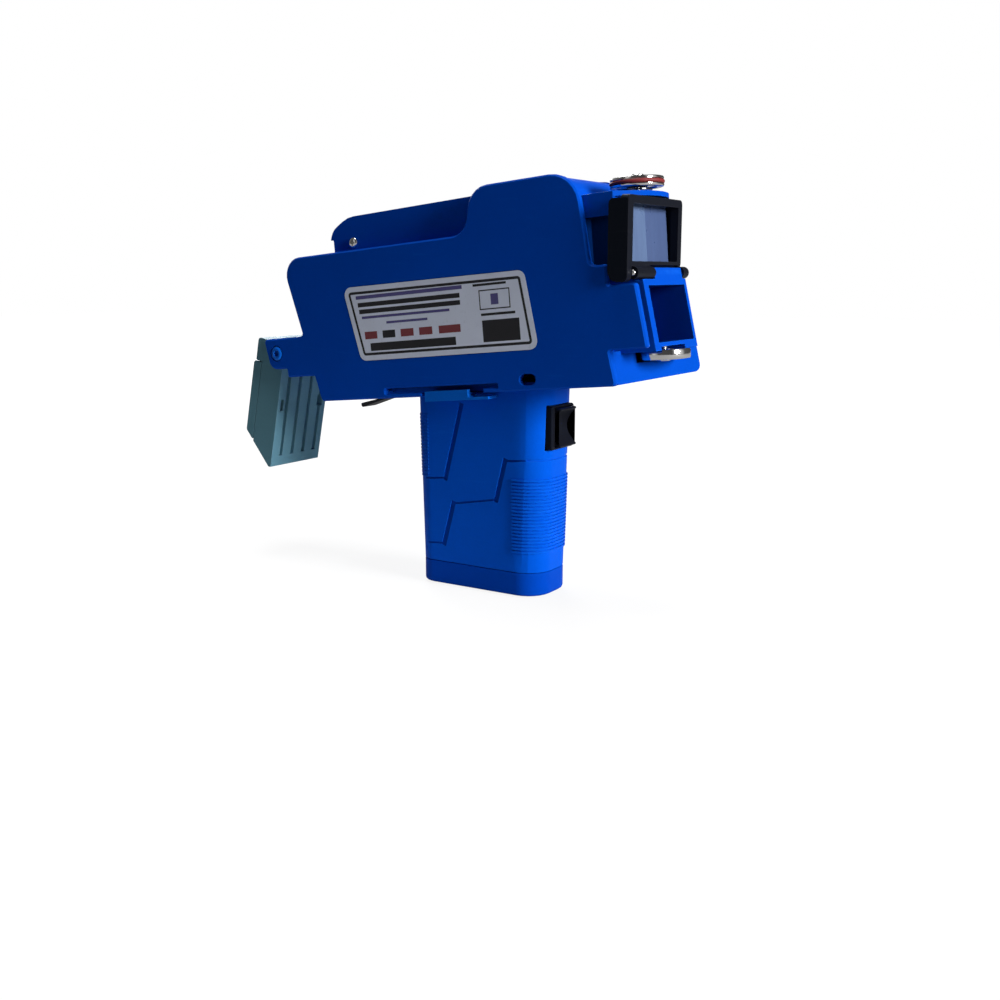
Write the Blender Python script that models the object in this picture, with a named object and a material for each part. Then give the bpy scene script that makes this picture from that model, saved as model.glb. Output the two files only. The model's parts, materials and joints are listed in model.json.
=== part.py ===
"""Handheld date code inkjet printer: a pistol-shaped body on a battery grip.

World frame: +X towards the print face, +Z up, origin on the underside of the grip, below
its middle. Body pieces are drawn in a body frame (u forward, y across, w up) that is
pitched nose-up on the grip. Sizes are in millimetres, and MM turns them into metres.
"""

import math

import bmesh
import bpy
from mathutils import Vector

MM = 0.001
GAP = 0.3

# Body: the side profile in the body frame, whose origin is at the front of the underside.
BODY_PITCH = math.radians(5.3)
BODY_ORIGIN_X = 70.4
BODY_ORIGIN_Z = 92.8
BODY_HALF_WIDTH = 23.5
COVER_THICKNESS = 2.6
WALL = 2.6
REVEAL = 0.4
REAR_FOOT = -149.2
REAR_LEAN = math.radians(14.0)
FRONT_FOOT = 16.0
FRONT_LEAN = math.radians(7.9)
DECK_HEIGHT = 64.0
DECK_REAR_RADIUS = 8.2
HEAD_HEIGHT = 82.3
HEAD_REAR = -60.3
HEAD_REAR_RADIUS = 10.0
HEAD_FRONT = -11.7
HEAD_FRONT_RADIUS = 13.0
FAR_COVER_FRONT = -5.0
FAR_COVER_STEP = 68.0
RISER_FOOT = -64.0
RISER_RADIUS = 8.0

# Rear top cover on the deck.
HUMP_REAR = -138.0
HUMP_FRONT = -65.4
HUMP_HEIGHT = 78.8
HUMP_FRONT_HEIGHT = 79.5
HUMP_HALF_WIDTH = 17.3
HUMP_BACK_RUN = 9.0
HUMP_BACK_HEIGHT = 74.0
HUMP_CROWN_RADIUS = 14.0
HUMP_BACK_RADIUS = 7.0
HUMP_LIP = 1.7
HUMP_LIP_HEIGHT = 69.8

# Ears that carry the tilting display.
EAR_TOP = 29.0
EAR_REAR = -180.8
EAR_CORNER = 1.8
EAR_BOTTOM = 15.0
EAR_ROOT_REAR = -168.1
EAR_ROOT_BOTTOM = 11.0
PIVOT_U = -173.4
PIVOT_W = 22.2

# Skirt and cut-outs of the right side cover.
SKIRT_DROP = 0.7
FINGER_NOTCH_FLOOR = 46.2
FINGER_NOTCH_EDGE = -8.1
CHEEK_TOP = 38.3
CHEEK_STEP = -1.2
CHEEK_FLOOR = 13.8
TOE_EDGE = -2.3
LOCK_NOTCH_REAR = -112.0
LOCK_NOTCH_FRONT = -54.0
LOCK_NOTCH_HEIGHT = 3.5
LOCK_LEDGE_FRONT = -92.4
LOCK_LEDGE_TOP = 1.2
LOCK_STRIP_REAR = -61.3
LOCK_STRIP_HEIGHT = 1.8
ACCESS_HOLE_U = -39.4
ACCESS_HOLE_W = 4.4
ACCESS_HOLE_RADIUS = 2.3
ACCESS_HOLE_STRETCH = 1.6
LABEL_CORNERS = ((-123.5, 16.2, 3.5), (-33.1, 16.2, 3.5), (-37.4, 47.6, 3.5), (-130.3, 48.3, 3.5))
LABEL_POCKET = 0.6
LABEL_THICKNESS = 0.4
LABEL_PROUD = 0.1

# Front frame with its cartridge sleeve.
FRAME_NEAR = -16.5
FRAME_FAR = 23.5
FRAME_REAR = -4.7
NECK_REAR = -11.7
NECK_HALF_WIDTH = 20.4
NECK_BOTTOM = 3.0
CROSSBAR_TOP = 44.0
CROSSBAR_BOTTOM = 37.2
LOWER_OPENING_FLOOR = 15.3
OPENING_NEAR = -12.4
LOWER_OPENING_FAR = 21.2
UPPER_FRONT = 4.3
UPPER_FAR = 21.0
UPPER_OPENING_FAR = 18.6
UPPER_OPENING_FLOOR = 46.6
UPPER_OPENING_TOP = 69.0
SHELF_BOTTOM = 71.1
SHELF_TOP = 73.0
SHELF_BOW = 7.5
SHELF_NEAR_FRONT = 2.0
SHELF_FAR_FRONT = 6.0
BROW_BOTTOM = 64.3
RECESS_REAR = -10.4
RECESS_DEPTH = 5.0
SLEEVE_REAR = -52.0
SLEEVE_BOTTOM = 13.0
SLEEVE_TOP = 71.8
SLEEVE_NEAR = -15.2
SLEEVE_FAR = 17.6
TOE_NEAR_FRONT = -0.4
TOE_FAR_FRONT = 15.6
TOE_NEAR = -20.6
TOE_TOP = 13.2
TOE_LEAN = 1.9
TOE_TIP_RISE = 1.8

# Cartridge latch and its pin, on an axis along Y.
HINGE_U = 8.8
HINGE_W = 42.1
BARREL_RADIUS = 2.4
BARREL_CLEARANCE = 0.6
BARREL_WEB = (-2.2, 0.4)
PIN_RADIUS = 1.0
PIN_BORE = 1.3
NEAR_BARREL = (-21.4, -5.6)
KNUCKLE = (-5.3, 20.6)
FAR_BARREL = (20.9, 25.8)
LATCH_NEAR = -25.4
LATCH_FAR = 23.6
LATCH_FRONT = -0.4
LATCH_PLATE = 3.2
LATCH_ARM_DEPTH = 8.2
LATCH_TOP = 28.5
LATCH_CORNER = 2.0
LATCH_ARM_TOP = 27.2
LATCH_RAIL_BOTTOM = 1.9
LATCH_ARM_BOTTOM = -3.4
NEAR_ARM_THICKNESS = 3.8
FAR_ARM_THICKNESS = 2.1
FAR_ARM_BOTTOM = 3.4
LATCH_WINDOW_Y = (-21.0, 20.0)
LATCH_WINDOW_Z = (4.3, 25.5)

# Guide wheels on axles that stand a little more upright than the body's w axis.
WHEEL_RADIUS = 10.5
WHEEL_THICKNESS = 4.0
WHEEL_BORE = 1.6
WHEEL_EDGE = 0.6
AXLE_RADIUS = 1.5
AXLE_HOLE = 2.1
AXLE_HEAD_RADIUS = 2.8
AXLE_LEAN = math.radians(-1.5)
TOP_WHEEL = (2.6, 77.0)
LOWER_WHEEL = (9.8, 10.6)
RING_GROOVE_DEPTH = 1.3
RING_GROOVE_WIDTH = 1.9
RING_SECTION = 0.75
WHEEL_SLOT_RADIUS = 12.0
WHEEL_SLOT = (8.0, 13.7)
ENCODER_RADIUS = 6.0
ENCODER_THICKNESS = 0.5
SENSOR_REACH = 6.2
SENSOR_LENGTH = 3.8
SENSOR_HALF_WIDTH = 2.2
SENSOR_FOOT = 70.4
SENSOR_PROUD = 0.3

# Grip, tapered towards its base.
GRIP_REAR = -32.6
GRIP_FRONT = 33.2
GRIP_WIDTH = 31.0
GRIP_REAR_CORNER = 8.0
GRIP_FRONT_CORNER = 11.0
GRIP_WALL = 2.5
GRIP_REAR_TAPER = 1.7
GRIP_FRONT_TAPER = 2.2
GRIP_SIDE_TAPER = 0.5
BASE_HEIGHT = 10.2
BASE_BEVEL = 0.8
LEVEL_GROOVE = 0.9
SLANT_GROOVE = 2.4
GROOVE_DEPTH = 0.8
GROOVE_PATHS = (
    ((26.0, 59.0), (15.0, 58.0), (10.6, 41.0), (-11.6, 37.0), (-16.6, 18.7), (-26.0, 18.0)),
    ((-7.0, 80.0), (-15.5, 48.0), (-26.0, 47.0)),
)

# Trigger in the front of the grip.
TRIGGER_Z = 72.3
BEZEL_HALF_WIDTH = 9.4
BEZEL_HEIGHT = 18.4
BEZEL_PROUD = 1.6
BEZEL_DEPTH = 3.4
BUTTON_HALF_WIDTH = 6.8
BUTTON_HEIGHT = 16.4
BUTTON_PROUD = 4.6
BUTTON_DISH = 4.8
BUTTON_REAR = 24.5
TRIGGER_TRAVEL = 3.0

# Tilting display: rear of the pivot axis, below it and across.
DISPLAY_LEAN = math.radians(11.8)
DISPLAY_NEAR = -19.0
DISPLAY_FAR = 15.0
DISPLAY_FRONT = -0.5
DISPLAY_REAR = 17.6
DISPLAY_HEAD_REAR = 16.2
DISPLAY_SEAM = 7.4
DISPLAY_TOP = 3.8
DISPLAY_LENGTH = 55.8
DISPLAY_SHELL = 12.4
DISPLAY_TOE = 1.0
DISPLAY_SLANT = 0.84
DISPLAY_BARREL = 4.4
PIVOT_BORE = 1.7
PIVOT_SHANK = 1.35
RIB_LINES = (-13.0, -5.2, 2.6, 10.4)
RIB_GAP_WIDTH = 2.4
RIB_DEPTH = 1.6
RIB_TOP = 9.0
RIB_BOTTOM = 50.8
VENTS = ((-17.0, -15.2), (8.6, 12.6))
VENT_TOP = 22.6
VENT_BOTTOM = 28.2
VENT_DEPTH = 3.6
BEZEL_FRAME = 3.0
GLASS_RECESS = 0.8

# Battery grip lock slider and charging port flap under the body.
LOCK_REAR = -91.2
LOCK_FRONT = -69.0
LOCK_TONGUE = 10.0
LOCK_TONGUE_HEIGHT = 1.1
LOCK_BOTTOM = -2.8
LOCK_LIP_TOP = 1.5
LOCK_BAY_DEPTH = 3.4
FLAP_HINGE_U = -121.5
FLAP_HINGE_W = -1.2
FLAP_LENGTH = 13.5
FLAP_THICKNESS = 0.9
FLAP_PLUG = 1.6
FLAP_ROOT = 1.25
FLAP_ROOT_LENGTH = 1.6
FLAP_NEAR = -13.4
FLAP_FAR = -3.6
FLAP_DROOP = math.radians(9.0)

# Case screws and the bosses that take them, (u, w) along the body walls.
BOSSES = ((-139.0, 6.0), (-153.0, 58.6), (-20.0, 6.0), (-55.0, 77.6))
BOSS_RADIUS = 3.6
SCREW_HEAD = 2.2
SCREW_HEAD_DEPTH = 1.3
PIVOT_HEAD = 3.3
PIVOT_HEAD_DEPTH = 1.9
SCREW_SHANK = 1.1
SCREW_BORE = 1.5
SCREW_LENGTH = 9.0
HUMP_SCREW = (-126.4, 67.5)

# Main board, between two opposite corners.
MAIN_BOARD = ((-136.0, 10.0, 12.0), (-60.0, 11.6, 52.0))

# Cells in the grip.
CELL_RADIUS = 9.1
CELL_LENGTH = 64.0
CELL_FOOT = 15.0
CELL_X = (-15.0, 4.0)

# Colours as linear RGB, with roughness and metallic values.
FINISHES = {
    "blue_plastic": ((0.004, 0.075, 0.52), 0.42, 0.0),
    "black_plastic": ((0.008, 0.008, 0.010), 0.45, 0.0),
    "grey_green_plastic": ((0.085, 0.15, 0.16), 0.5, 0.0),
    "polished_steel": ((0.75, 0.75, 0.77), 0.15, 1.0),
    "red_rubber": ((0.30, 0.025, 0.02), 0.6, 0.0),
    "black_rubber": ((0.012, 0.012, 0.013), 0.7, 0.0),
    "label_film": ((0.62, 0.64, 0.68), 0.4, 0.0),
    "pale_plate": ((0.36, 0.42, 0.62), 0.3, 0.0),
    "dark_glass": ((0.01, 0.012, 0.015), 0.08, 0.0),
    "circuit_board": ((0.01, 0.14, 0.05), 0.5, 0.0),
    "cell_wrap": ((0.05, 0.22, 0.12), 0.4, 0.0),
    "brass": ((0.72, 0.52, 0.18), 0.25, 1.0),
}


def clear_scene():
    for old in list(bpy.data.objects):
        bpy.data.objects.remove(old, do_unlink=True)


def finish(name):
    """Material with the named finish, made on first use."""
    found = bpy.data.materials.get(name)
    if found:
        return found
    colour, roughness, metallic = FINISHES[name]
    made = bpy.data.materials.new(name)
    made.use_nodes = True
    shader = made.node_tree.nodes["Principled BSDF"]
    shader.inputs["Base Color"].default_value = (*colour, 1.0)
    shader.inputs["Roughness"].default_value = roughness
    shader.inputs["Metallic"].default_value = metallic
    return made


def frame_empty(name, x, y, z, turn=0.0, parent=None):
    """Empty at a point, turned about Y; positive turn tips +Z towards +X."""
    empty = bpy.data.objects.new(name, None)
    bpy.context.collection.objects.link(empty)
    empty.location = (x * MM, y * MM, z * MM)
    empty.rotation_euler = (0.0, turn, 0.0)
    empty.parent = parent
    return empty


def rounded(corners, degrees_per_step=18.0):
    """Closed outline through (a, b, radius) corners, each one turned as an arc."""
    outline = []
    for index, (a, b, radius) in enumerate(corners):
        here = Vector((a, b))
        before = (Vector(corners[index - 1][:2]) - here).normalized()
        after = (Vector(corners[(index + 1) % len(corners)][:2]) - here).normalized()
        if radius <= 0.0:
            outline.append((a, b))
            continue
        half = before.angle(after) / 2.0
        centre = here + (before + after).normalized() * (radius / math.sin(half))
        reach = radius / math.tan(half)
        start = here + before * reach - centre
        end = here + after * reach - centre
        sweep = math.atan2(start.x * end.y - start.y * end.x, start.dot(end))
        steps = max(2, round(abs(math.degrees(sweep)) / degrees_per_step))
        for step in range(steps + 1):
            angle = sweep * step / steps
            cosine, sine = math.cos(angle), math.sin(angle)
            outline.append((centre.x + start.x * cosine - start.y * sine,
                            centre.y + start.x * sine + start.y * cosine))
    return outline


def inset(corners, distance):
    """Counter-clockwise corners moved inwards, with their radii kept concentric."""
    moved = []
    for index, (a, b, radius) in enumerate(corners):
        here = Vector((a, b))
        along_in = (here - Vector(corners[index - 1][:2])).normalized()
        along_out = (Vector(corners[(index + 1) % len(corners)][:2]) - here).normalized()
        turn = along_in.x * along_out.y - along_in.y * along_out.x
        inward = Vector((-along_in.y, along_in.x)) + Vector((-along_out.y, along_out.x))
        corner = here + inward * (distance / (1.0 + along_in.dot(along_out)))
        grown = radius - distance if turn > 0.0 else radius + distance
        moved.append((corner.x, corner.y, max(grown, 0.4)))
    return moved


def rectangle(low_a, low_b, high_a, high_b, radius=0.0):
    return [(low_a, low_b, radius), (high_a, low_b, radius),
            (high_a, high_b, radius), (low_a, high_b, radius)]


def place(axis, a, b, along):
    """Point whose outline coordinates are a and b and whose extrusion is along the axis."""
    if axis == "X":
        return Vector((along, a, b)) * MM
    if axis == "Y":
        return Vector((a, along, b)) * MM
    return Vector((a, b, along)) * MM


def prism(shape, outline, low, high, axis="Y"):
    """Closed prism on an outline, between two stations along an axis."""
    base = [shape.verts.new(place(axis, a, b, low)) for a, b in outline]
    face = shape.faces.new(base)
    grown = bmesh.ops.extrude_face_region(shape, geom=[face])["geom"]
    moved = [item for item in grown if isinstance(item, bmesh.types.BMVert)]
    bmesh.ops.translate(shape, verts=moved, vec=place(axis, 0.0, 0.0, high - low))
    return base + moved


def block(shape, low, high):
    """Closed box between two corners."""
    outline = [(low[0], low[1]), (high[0], low[1]), (high[0], high[1]), (low[0], high[1])]
    return prism(shape, outline, low[2], high[2], axis="Z")


def spindle(shape, centre, stations, axis="Y", sides=16):
    """Closed turned solid about an axis line: circles of (radius, along), capped at both ends."""
    circles = []
    for radius, along in stations:
        circle = []
        for side in range(sides):
            angle = 2.0 * math.pi * side / sides
            across = (centre[0] + radius * math.cos(angle), centre[1] + radius * math.sin(angle))
            circle.append(shape.verts.new(place(axis, *across, along)))
        circles.append(circle)
    for first, second in zip(circles, circles[1:]):
        for side in range(sides):
            shape.faces.new((first[side - 1], first[side], second[side], second[side - 1]))
    shape.faces.new(circles[0])
    shape.faces.new(circles[-1])


def disc(shape, centre, radius, low, high, axis="Y", sides=20):
    """Closed cylinder about an axis line through centre (a, b)."""
    spindle(shape, centre, ((radius, low), (radius, high)), axis, sides)


def turned(shape, profile, sides=32):
    """Ring turned about Z from a closed (radius, height) profile."""
    rings = []
    for side in range(sides):
        angle = 2.0 * math.pi * side / sides
        cosine, sine = math.cos(angle) * MM, math.sin(angle) * MM
        rings.append([shape.verts.new((r * cosine, r * sine, h * MM)) for r, h in profile])
    for side in range(sides):
        here, there = rings[side], rings[(side + 1) % sides]
        for point in range(len(profile)):
            following = (point + 1) % len(profile)
            shape.faces.new((here[point], there[point], there[following], here[following]))


def finished_object(name, shape, parent):
    bmesh.ops.recalc_face_normals(shape, faces=shape.faces)
    mesh = bpy.data.meshes.new(name)
    shape.to_mesh(mesh)
    shape.free()
    made = bpy.data.objects.new(name, mesh)
    bpy.context.collection.objects.link(made)
    made.parent = parent
    return made


def piece(name, shape, material, parent=None, smooth=False):
    """Named sub-part with its own material."""
    made = finished_object(name, shape, parent)
    made.data.materials.append(finish(material))
    if smooth:
        made.data.shade_smooth()
        made.data.set_sharp_from_angle(angle=math.radians(35.0))
    return made


def combine(target, shape, operation):
    """Boolean of a hidden tool shape with a sub-part in the same frame."""
    tool = finished_object(f"{target.name}_{operation.lower()}", shape, target.parent)
    tool.hide_render = True
    tool.display_type = "WIRE"
    boolean = target.modifiers.new(operation.title(), "BOOLEAN")
    boolean.object = tool
    boolean.operation = operation
    boolean.solver = "EXACT"
    boolean.use_self = True


def chamfer(target, width):
    """Small bevel on every sharp edge."""
    bevel = target.modifiers.new("Edges", "BEVEL")
    bevel.width = width * MM
    bevel.segments = 1
    bevel.limit_method = "ANGLE"
    bevel.angle_limit = math.radians(50.0)


def chamfer_face(target, axis, sign, width):
    """Chamfer around the face that looks along one axis."""
    shape = bmesh.new()
    shape.from_mesh(target.data)
    edges = set()
    for face in shape.faces:
        if face.normal[axis] * sign > 0.99:
            edges.update(face.edges)
    bmesh.ops.bevel(shape, geom=list(edges), offset=width * MM, segments=1, profile=0.5, affect="EDGES")
    shape.to_mesh(target.data)
    shape.free()


def rear_edge(w):
    return REAR_FOOT - w * math.tan(REAR_LEAN)


def front_edge(w):
    return FRONT_FOOT - w * math.tan(FRONT_LEAN)


def underside(x):
    """World height of the body's underside above a point of the grip."""
    return BODY_ORIGIN_Z + (x - BODY_ORIGIN_X) * math.tan(BODY_PITCH)


def profile_top(riser_radius=RISER_RADIUS):
    """Head, riser and deck of the side profile, from front to rear."""
    return [(HEAD_FRONT, HEAD_HEIGHT, HEAD_FRONT_RADIUS), (HEAD_REAR, HEAD_HEIGHT, HEAD_REAR_RADIUS),
            (RISER_FOOT, DECK_HEIGHT, riser_radius),
            (rear_edge(DECK_HEIGHT), DECK_HEIGHT, DECK_REAR_RADIUS)]


def profile_ear():
    """Display ear on the rear edge, from its top to its root."""
    return [(rear_edge(EAR_TOP), EAR_TOP, 1.5), (EAR_REAR, EAR_TOP, EAR_CORNER), (EAR_REAR + 2.6, EAR_BOTTOM, 4.5),
            (EAR_ROOT_REAR, EAR_BOTTOM, 0.8), (EAR_ROOT_REAR, EAR_ROOT_BOTTOM, 0.8),
            (rear_edge(EAR_ROOT_BOTTOM), EAR_ROOT_BOTTOM, 0.8)]


def profile_plain(riser_radius):
    """Side profile with no ear and no cut-outs."""
    return [(rear_edge(0.0), 0.0, 2.0), (HEAD_FRONT, 0.0, 2.0)] + profile_top(riser_radius)


def right_side_cover(body):
    corners = [(rear_edge(-SKIRT_DROP), -SKIRT_DROP, 2.0),
               (LOCK_LEDGE_FRONT, -SKIRT_DROP, 0.9), (LOCK_LEDGE_FRONT, LOCK_LEDGE_TOP, 0.9),
               (LOCK_NOTCH_REAR, LOCK_LEDGE_TOP, 0.5), (LOCK_NOTCH_REAR, LOCK_NOTCH_HEIGHT, 0.8),
               (LOCK_NOTCH_FRONT, LOCK_NOTCH_HEIGHT, 0.8), (LOCK_NOTCH_FRONT, LOCK_STRIP_HEIGHT, 0.4),
               (LOCK_STRIP_REAR, LOCK_STRIP_HEIGHT, 0.0), (LOCK_STRIP_REAR, 0.0, 0.0),
               (0.0, 0.0, 1.5), (TOE_EDGE, CHEEK_FLOOR, 1.0),
               (front_edge(CHEEK_FLOOR), CHEEK_FLOOR, 1.0), (front_edge(CHEEK_TOP), CHEEK_TOP, 1.0),
               (CHEEK_STEP, CHEEK_TOP, 1.0), (CHEEK_STEP, FINGER_NOTCH_FLOOR, 1.0),
               (FINGER_NOTCH_EDGE, FINGER_NOTCH_FLOOR, 2.6)]
    corners += profile_top() + profile_ear()
    shape = bmesh.new()
    outer = -BODY_HALF_WIDTH
    prism(shape, rounded(corners, 15.0), outer, outer + COVER_THICKNESS)
    cover = piece("right_side_cover", shape, "blue_plastic", body)
    chamfer_face(cover, 1, -1.0, 0.7)
    holes = bmesh.new()
    pocket = inset(LABEL_CORNERS, -GAP)
    prism(holes, rounded(pocket, 30.0), outer - 1.0, outer + LABEL_POCKET)
    half_length = ACCESS_HOLE_RADIUS + ACCESS_HOLE_STRETCH
    half_height = ACCESS_HOLE_RADIUS
    slot = rectangle(ACCESS_HOLE_U - half_length, ACCESS_HOLE_W - half_height,
                     ACCESS_HOLE_U + half_length, ACCESS_HOLE_W + half_height, half_height - 0.01)
    prism(holes, rounded(slot), outer - 1.0, outer + COVER_THICKNESS + 1.0)
    pivot_holes(holes, outer, 1.0)
    combine(cover, holes, "DIFFERENCE")


def pivot_holes(holes, outer, inward):
    """Stepped pivot screw hole through an ear: a head recess and a shank bore."""
    pivot = (PIVOT_U, PIVOT_W)
    recess = sorted((outer - inward, outer + inward * (SCREW_HEAD_DEPTH + 0.2)))
    bore = sorted((outer, outer + inward * 12.0))
    disc(holes, pivot, PIVOT_HEAD + 0.4, *recess)
    disc(holes, pivot, PIVOT_BORE, *bore)


def left_side_cover(body):
    corners = [(rear_edge(0.0), 0.0, 2.0), (FAR_COVER_FRONT, 0.0, 2.0),
               (FAR_COVER_FRONT, FAR_COVER_STEP, 2.0), (HEAD_FRONT, FAR_COVER_STEP, 0.8)]
    corners += profile_top() + profile_ear()
    shape = bmesh.new()
    outer = BODY_HALF_WIDTH
    prism(shape, rounded(corners, 15.0), outer - COVER_THICKNESS, outer)
    cover = piece("left_side_cover", shape, "blue_plastic", body)
    chamfer_face(cover, 1, 1.0, 0.7)
    boss = bmesh.new()
    disc(boss, (PIVOT_U, PIVOT_W), 5.0, DISPLAY_FAR + GAP, outer - COVER_THICKNESS + 0.5)
    combine(cover, boss, "UNION")
    holes = bmesh.new()
    pivot_holes(holes, outer, -1.0)
    for boss_centre in BOSSES:
        disc(holes, boss_centre, SCREW_HEAD + 0.4, outer - SCREW_HEAD_DEPTH - 0.2, outer + 1.0)
        disc(holes, boss_centre, SCREW_BORE, outer - COVER_THICKNESS - 1.0, outer)
    combine(cover, holes, "DIFFERENCE")


def main_housing(body):
    """Band between the side covers, with screw bosses along its walls."""
    half = BODY_HALF_WIDTH - COVER_THICKNESS - GAP
    shape = bmesh.new()
    profile = profile_plain(riser_radius=0.6)
    prism(shape, rounded(inset(profile, REVEAL), 15.0), -half, half)
    housing = piece("main_housing", shape, "blue_plastic", body)
    hollow = bmesh.new()
    prism(hollow, rounded(inset(profile, REVEAL + WALL), 22.0), -half - 1.0, half + 1.0)
    combine(housing, hollow, "DIFFERENCE")
    bosses = bmesh.new()
    for centre in BOSSES:
        disc(bosses, centre, BOSS_RADIUS, -half + 0.5, half - 0.5, sides=14)
    combine(housing, bosses, "UNION")
    openings = bmesh.new()
    block(openings, (HEAD_FRONT - 2.0 * WALL, SLEEVE_NEAR - REVEAL, SLEEVE_BOTTOM - REVEAL),
          (HEAD_FRONT + 1.0, SLEEVE_FAR + REVEAL, SLEEVE_TOP + REVEAL))
    block(openings, (LOCK_NOTCH_REAR, -half - 1.0, -1.0),
          (LOCK_NOTCH_FRONT, -half + LOCK_BAY_DEPTH, LOCK_NOTCH_HEIGHT))
    block(openings, (FLAP_HINGE_U - 12.0, FLAP_NEAR, -1.0), (FLAP_HINGE_U - 2.0, FLAP_FAR, WALL + 1.5))
    for centre in BOSSES:
        disc(openings, centre, SCREW_BORE, half - SCREW_LENGTH, half + 1.0, sides=12)
    combine(housing, openings, "DIFFERENCE")


def top_cover(body):
    """Rear top cover: a round-backed lid with a drip lip over its foot."""
    foot = DECK_HEIGHT - REVEAL + GAP
    corners = [(HUMP_REAR, foot, 0.4), (HUMP_FRONT, foot, 0.4), (HUMP_FRONT + 3.4, HUMP_FRONT_HEIGHT, 0.8),
               (HUMP_REAR + HUMP_BACK_RUN, HUMP_HEIGHT, HUMP_CROWN_RADIUS),
               (HUMP_REAR, HUMP_BACK_HEIGHT, HUMP_BACK_RADIUS),
               (HUMP_REAR - HUMP_LIP, HUMP_LIP_HEIGHT, 0.3), (HUMP_REAR, HUMP_LIP_HEIGHT, 0.3)]
    shape = bmesh.new()
    prism(shape, rounded(corners, 15.0), -HUMP_HALF_WIDTH, HUMP_HALF_WIDTH)
    cover = piece("top_cover", shape, "blue_plastic", body)
    hollow = bmesh.new()
    block(hollow, (HUMP_REAR + WALL, -HUMP_HALF_WIDTH + WALL, foot - 1.0),
          (HUMP_FRONT - WALL, HUMP_HALF_WIDTH - WALL, HUMP_HEIGHT - 6.0))
    disc(hollow, HUMP_SCREW, SCREW_BORE, -HUMP_HALF_WIDTH - 1.0, -HUMP_HALF_WIDTH + 2.0, sides=12)
    disc(hollow, HUMP_SCREW, SCREW_BORE, HUMP_HALF_WIDTH - 2.0, HUMP_HALF_WIDTH + 1.0, sides=12)
    combine(cover, hollow, "DIFFERENCE")


def rating_label(body):
    shape = bmesh.new()
    outer = -BODY_HALF_WIDTH - LABEL_PROUD
    prism(shape, rounded(LABEL_CORNERS), outer, outer + LABEL_THICKNESS)
    piece("rating_label", shape, "label_film", body)


def shelf_outline():
    """Shelf under the top wheel, with a bowed front, in (u, y)."""
    near = -NECK_HALF_WIDTH
    outline = [(FRAME_REAR, UPPER_FAR), (FRAME_REAR, near)]
    steps = 12
    for step in range(steps + 1):
        share = step / steps
        bow = 1.0 - (2.0 * share - 1.0) ** 2
        chord = SHELF_NEAR_FRONT + (SHELF_FAR_FRONT - SHELF_NEAR_FRONT) * share
        outline.append((chord + SHELF_BOW * bow, near + (UPPER_FAR - near) * share))
    return outline


def frame_solids():
    """Neck, brow, upper block, shelf, sleeve and slanted toe of the print face frame."""
    parts = bmesh.new()
    block(parts, (NECK_REAR, -NECK_HALF_WIDTH, NECK_BOTTOM), (FRAME_REAR + 1.0, NECK_HALF_WIDTH, SHELF_TOP))
    block(parts, (FRAME_REAR, -NECK_HALF_WIDTH, BROW_BOTTOM),
          (SHELF_NEAR_FRONT, FRAME_NEAR + 1.0, SHELF_TOP))
    block(parts, (FRAME_REAR, FRAME_NEAR, CROSSBAR_TOP - 1.0), (UPPER_FRONT, UPPER_FAR, SHELF_BOTTOM + 1.0))
    prism(parts, shelf_outline(), SHELF_BOTTOM, SHELF_TOP, axis="Z")
    block(parts, (SLEEVE_REAR, SLEEVE_NEAR, SLEEVE_BOTTOM), (NECK_REAR + 1.0, SLEEVE_FAR, SLEEVE_TOP))
    toe = [(FRAME_REAR, TOE_NEAR), (TOE_NEAR_FRONT, TOE_NEAR),
           (TOE_FAR_FRONT, FRAME_FAR), (FRAME_REAR, FRAME_FAR)]
    for corner in prism(parts, toe, GAP, TOE_TOP, axis="Z"):
        if corner.co.z > TOE_TOP * MM / 2.0 and corner.co.x > (FRAME_REAR + 1.0) * MM:
            corner.co.x -= TOE_LEAN * MM
        elif corner.co.x > (TOE_FAR_FRONT - 1.0) * MM:
            corner.co.x -= TOE_LEAN * TOE_TIP_RISE / (TOE_TOP - GAP) * MM
            corner.co.z += TOE_TIP_RISE * MM
    return parts


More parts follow.
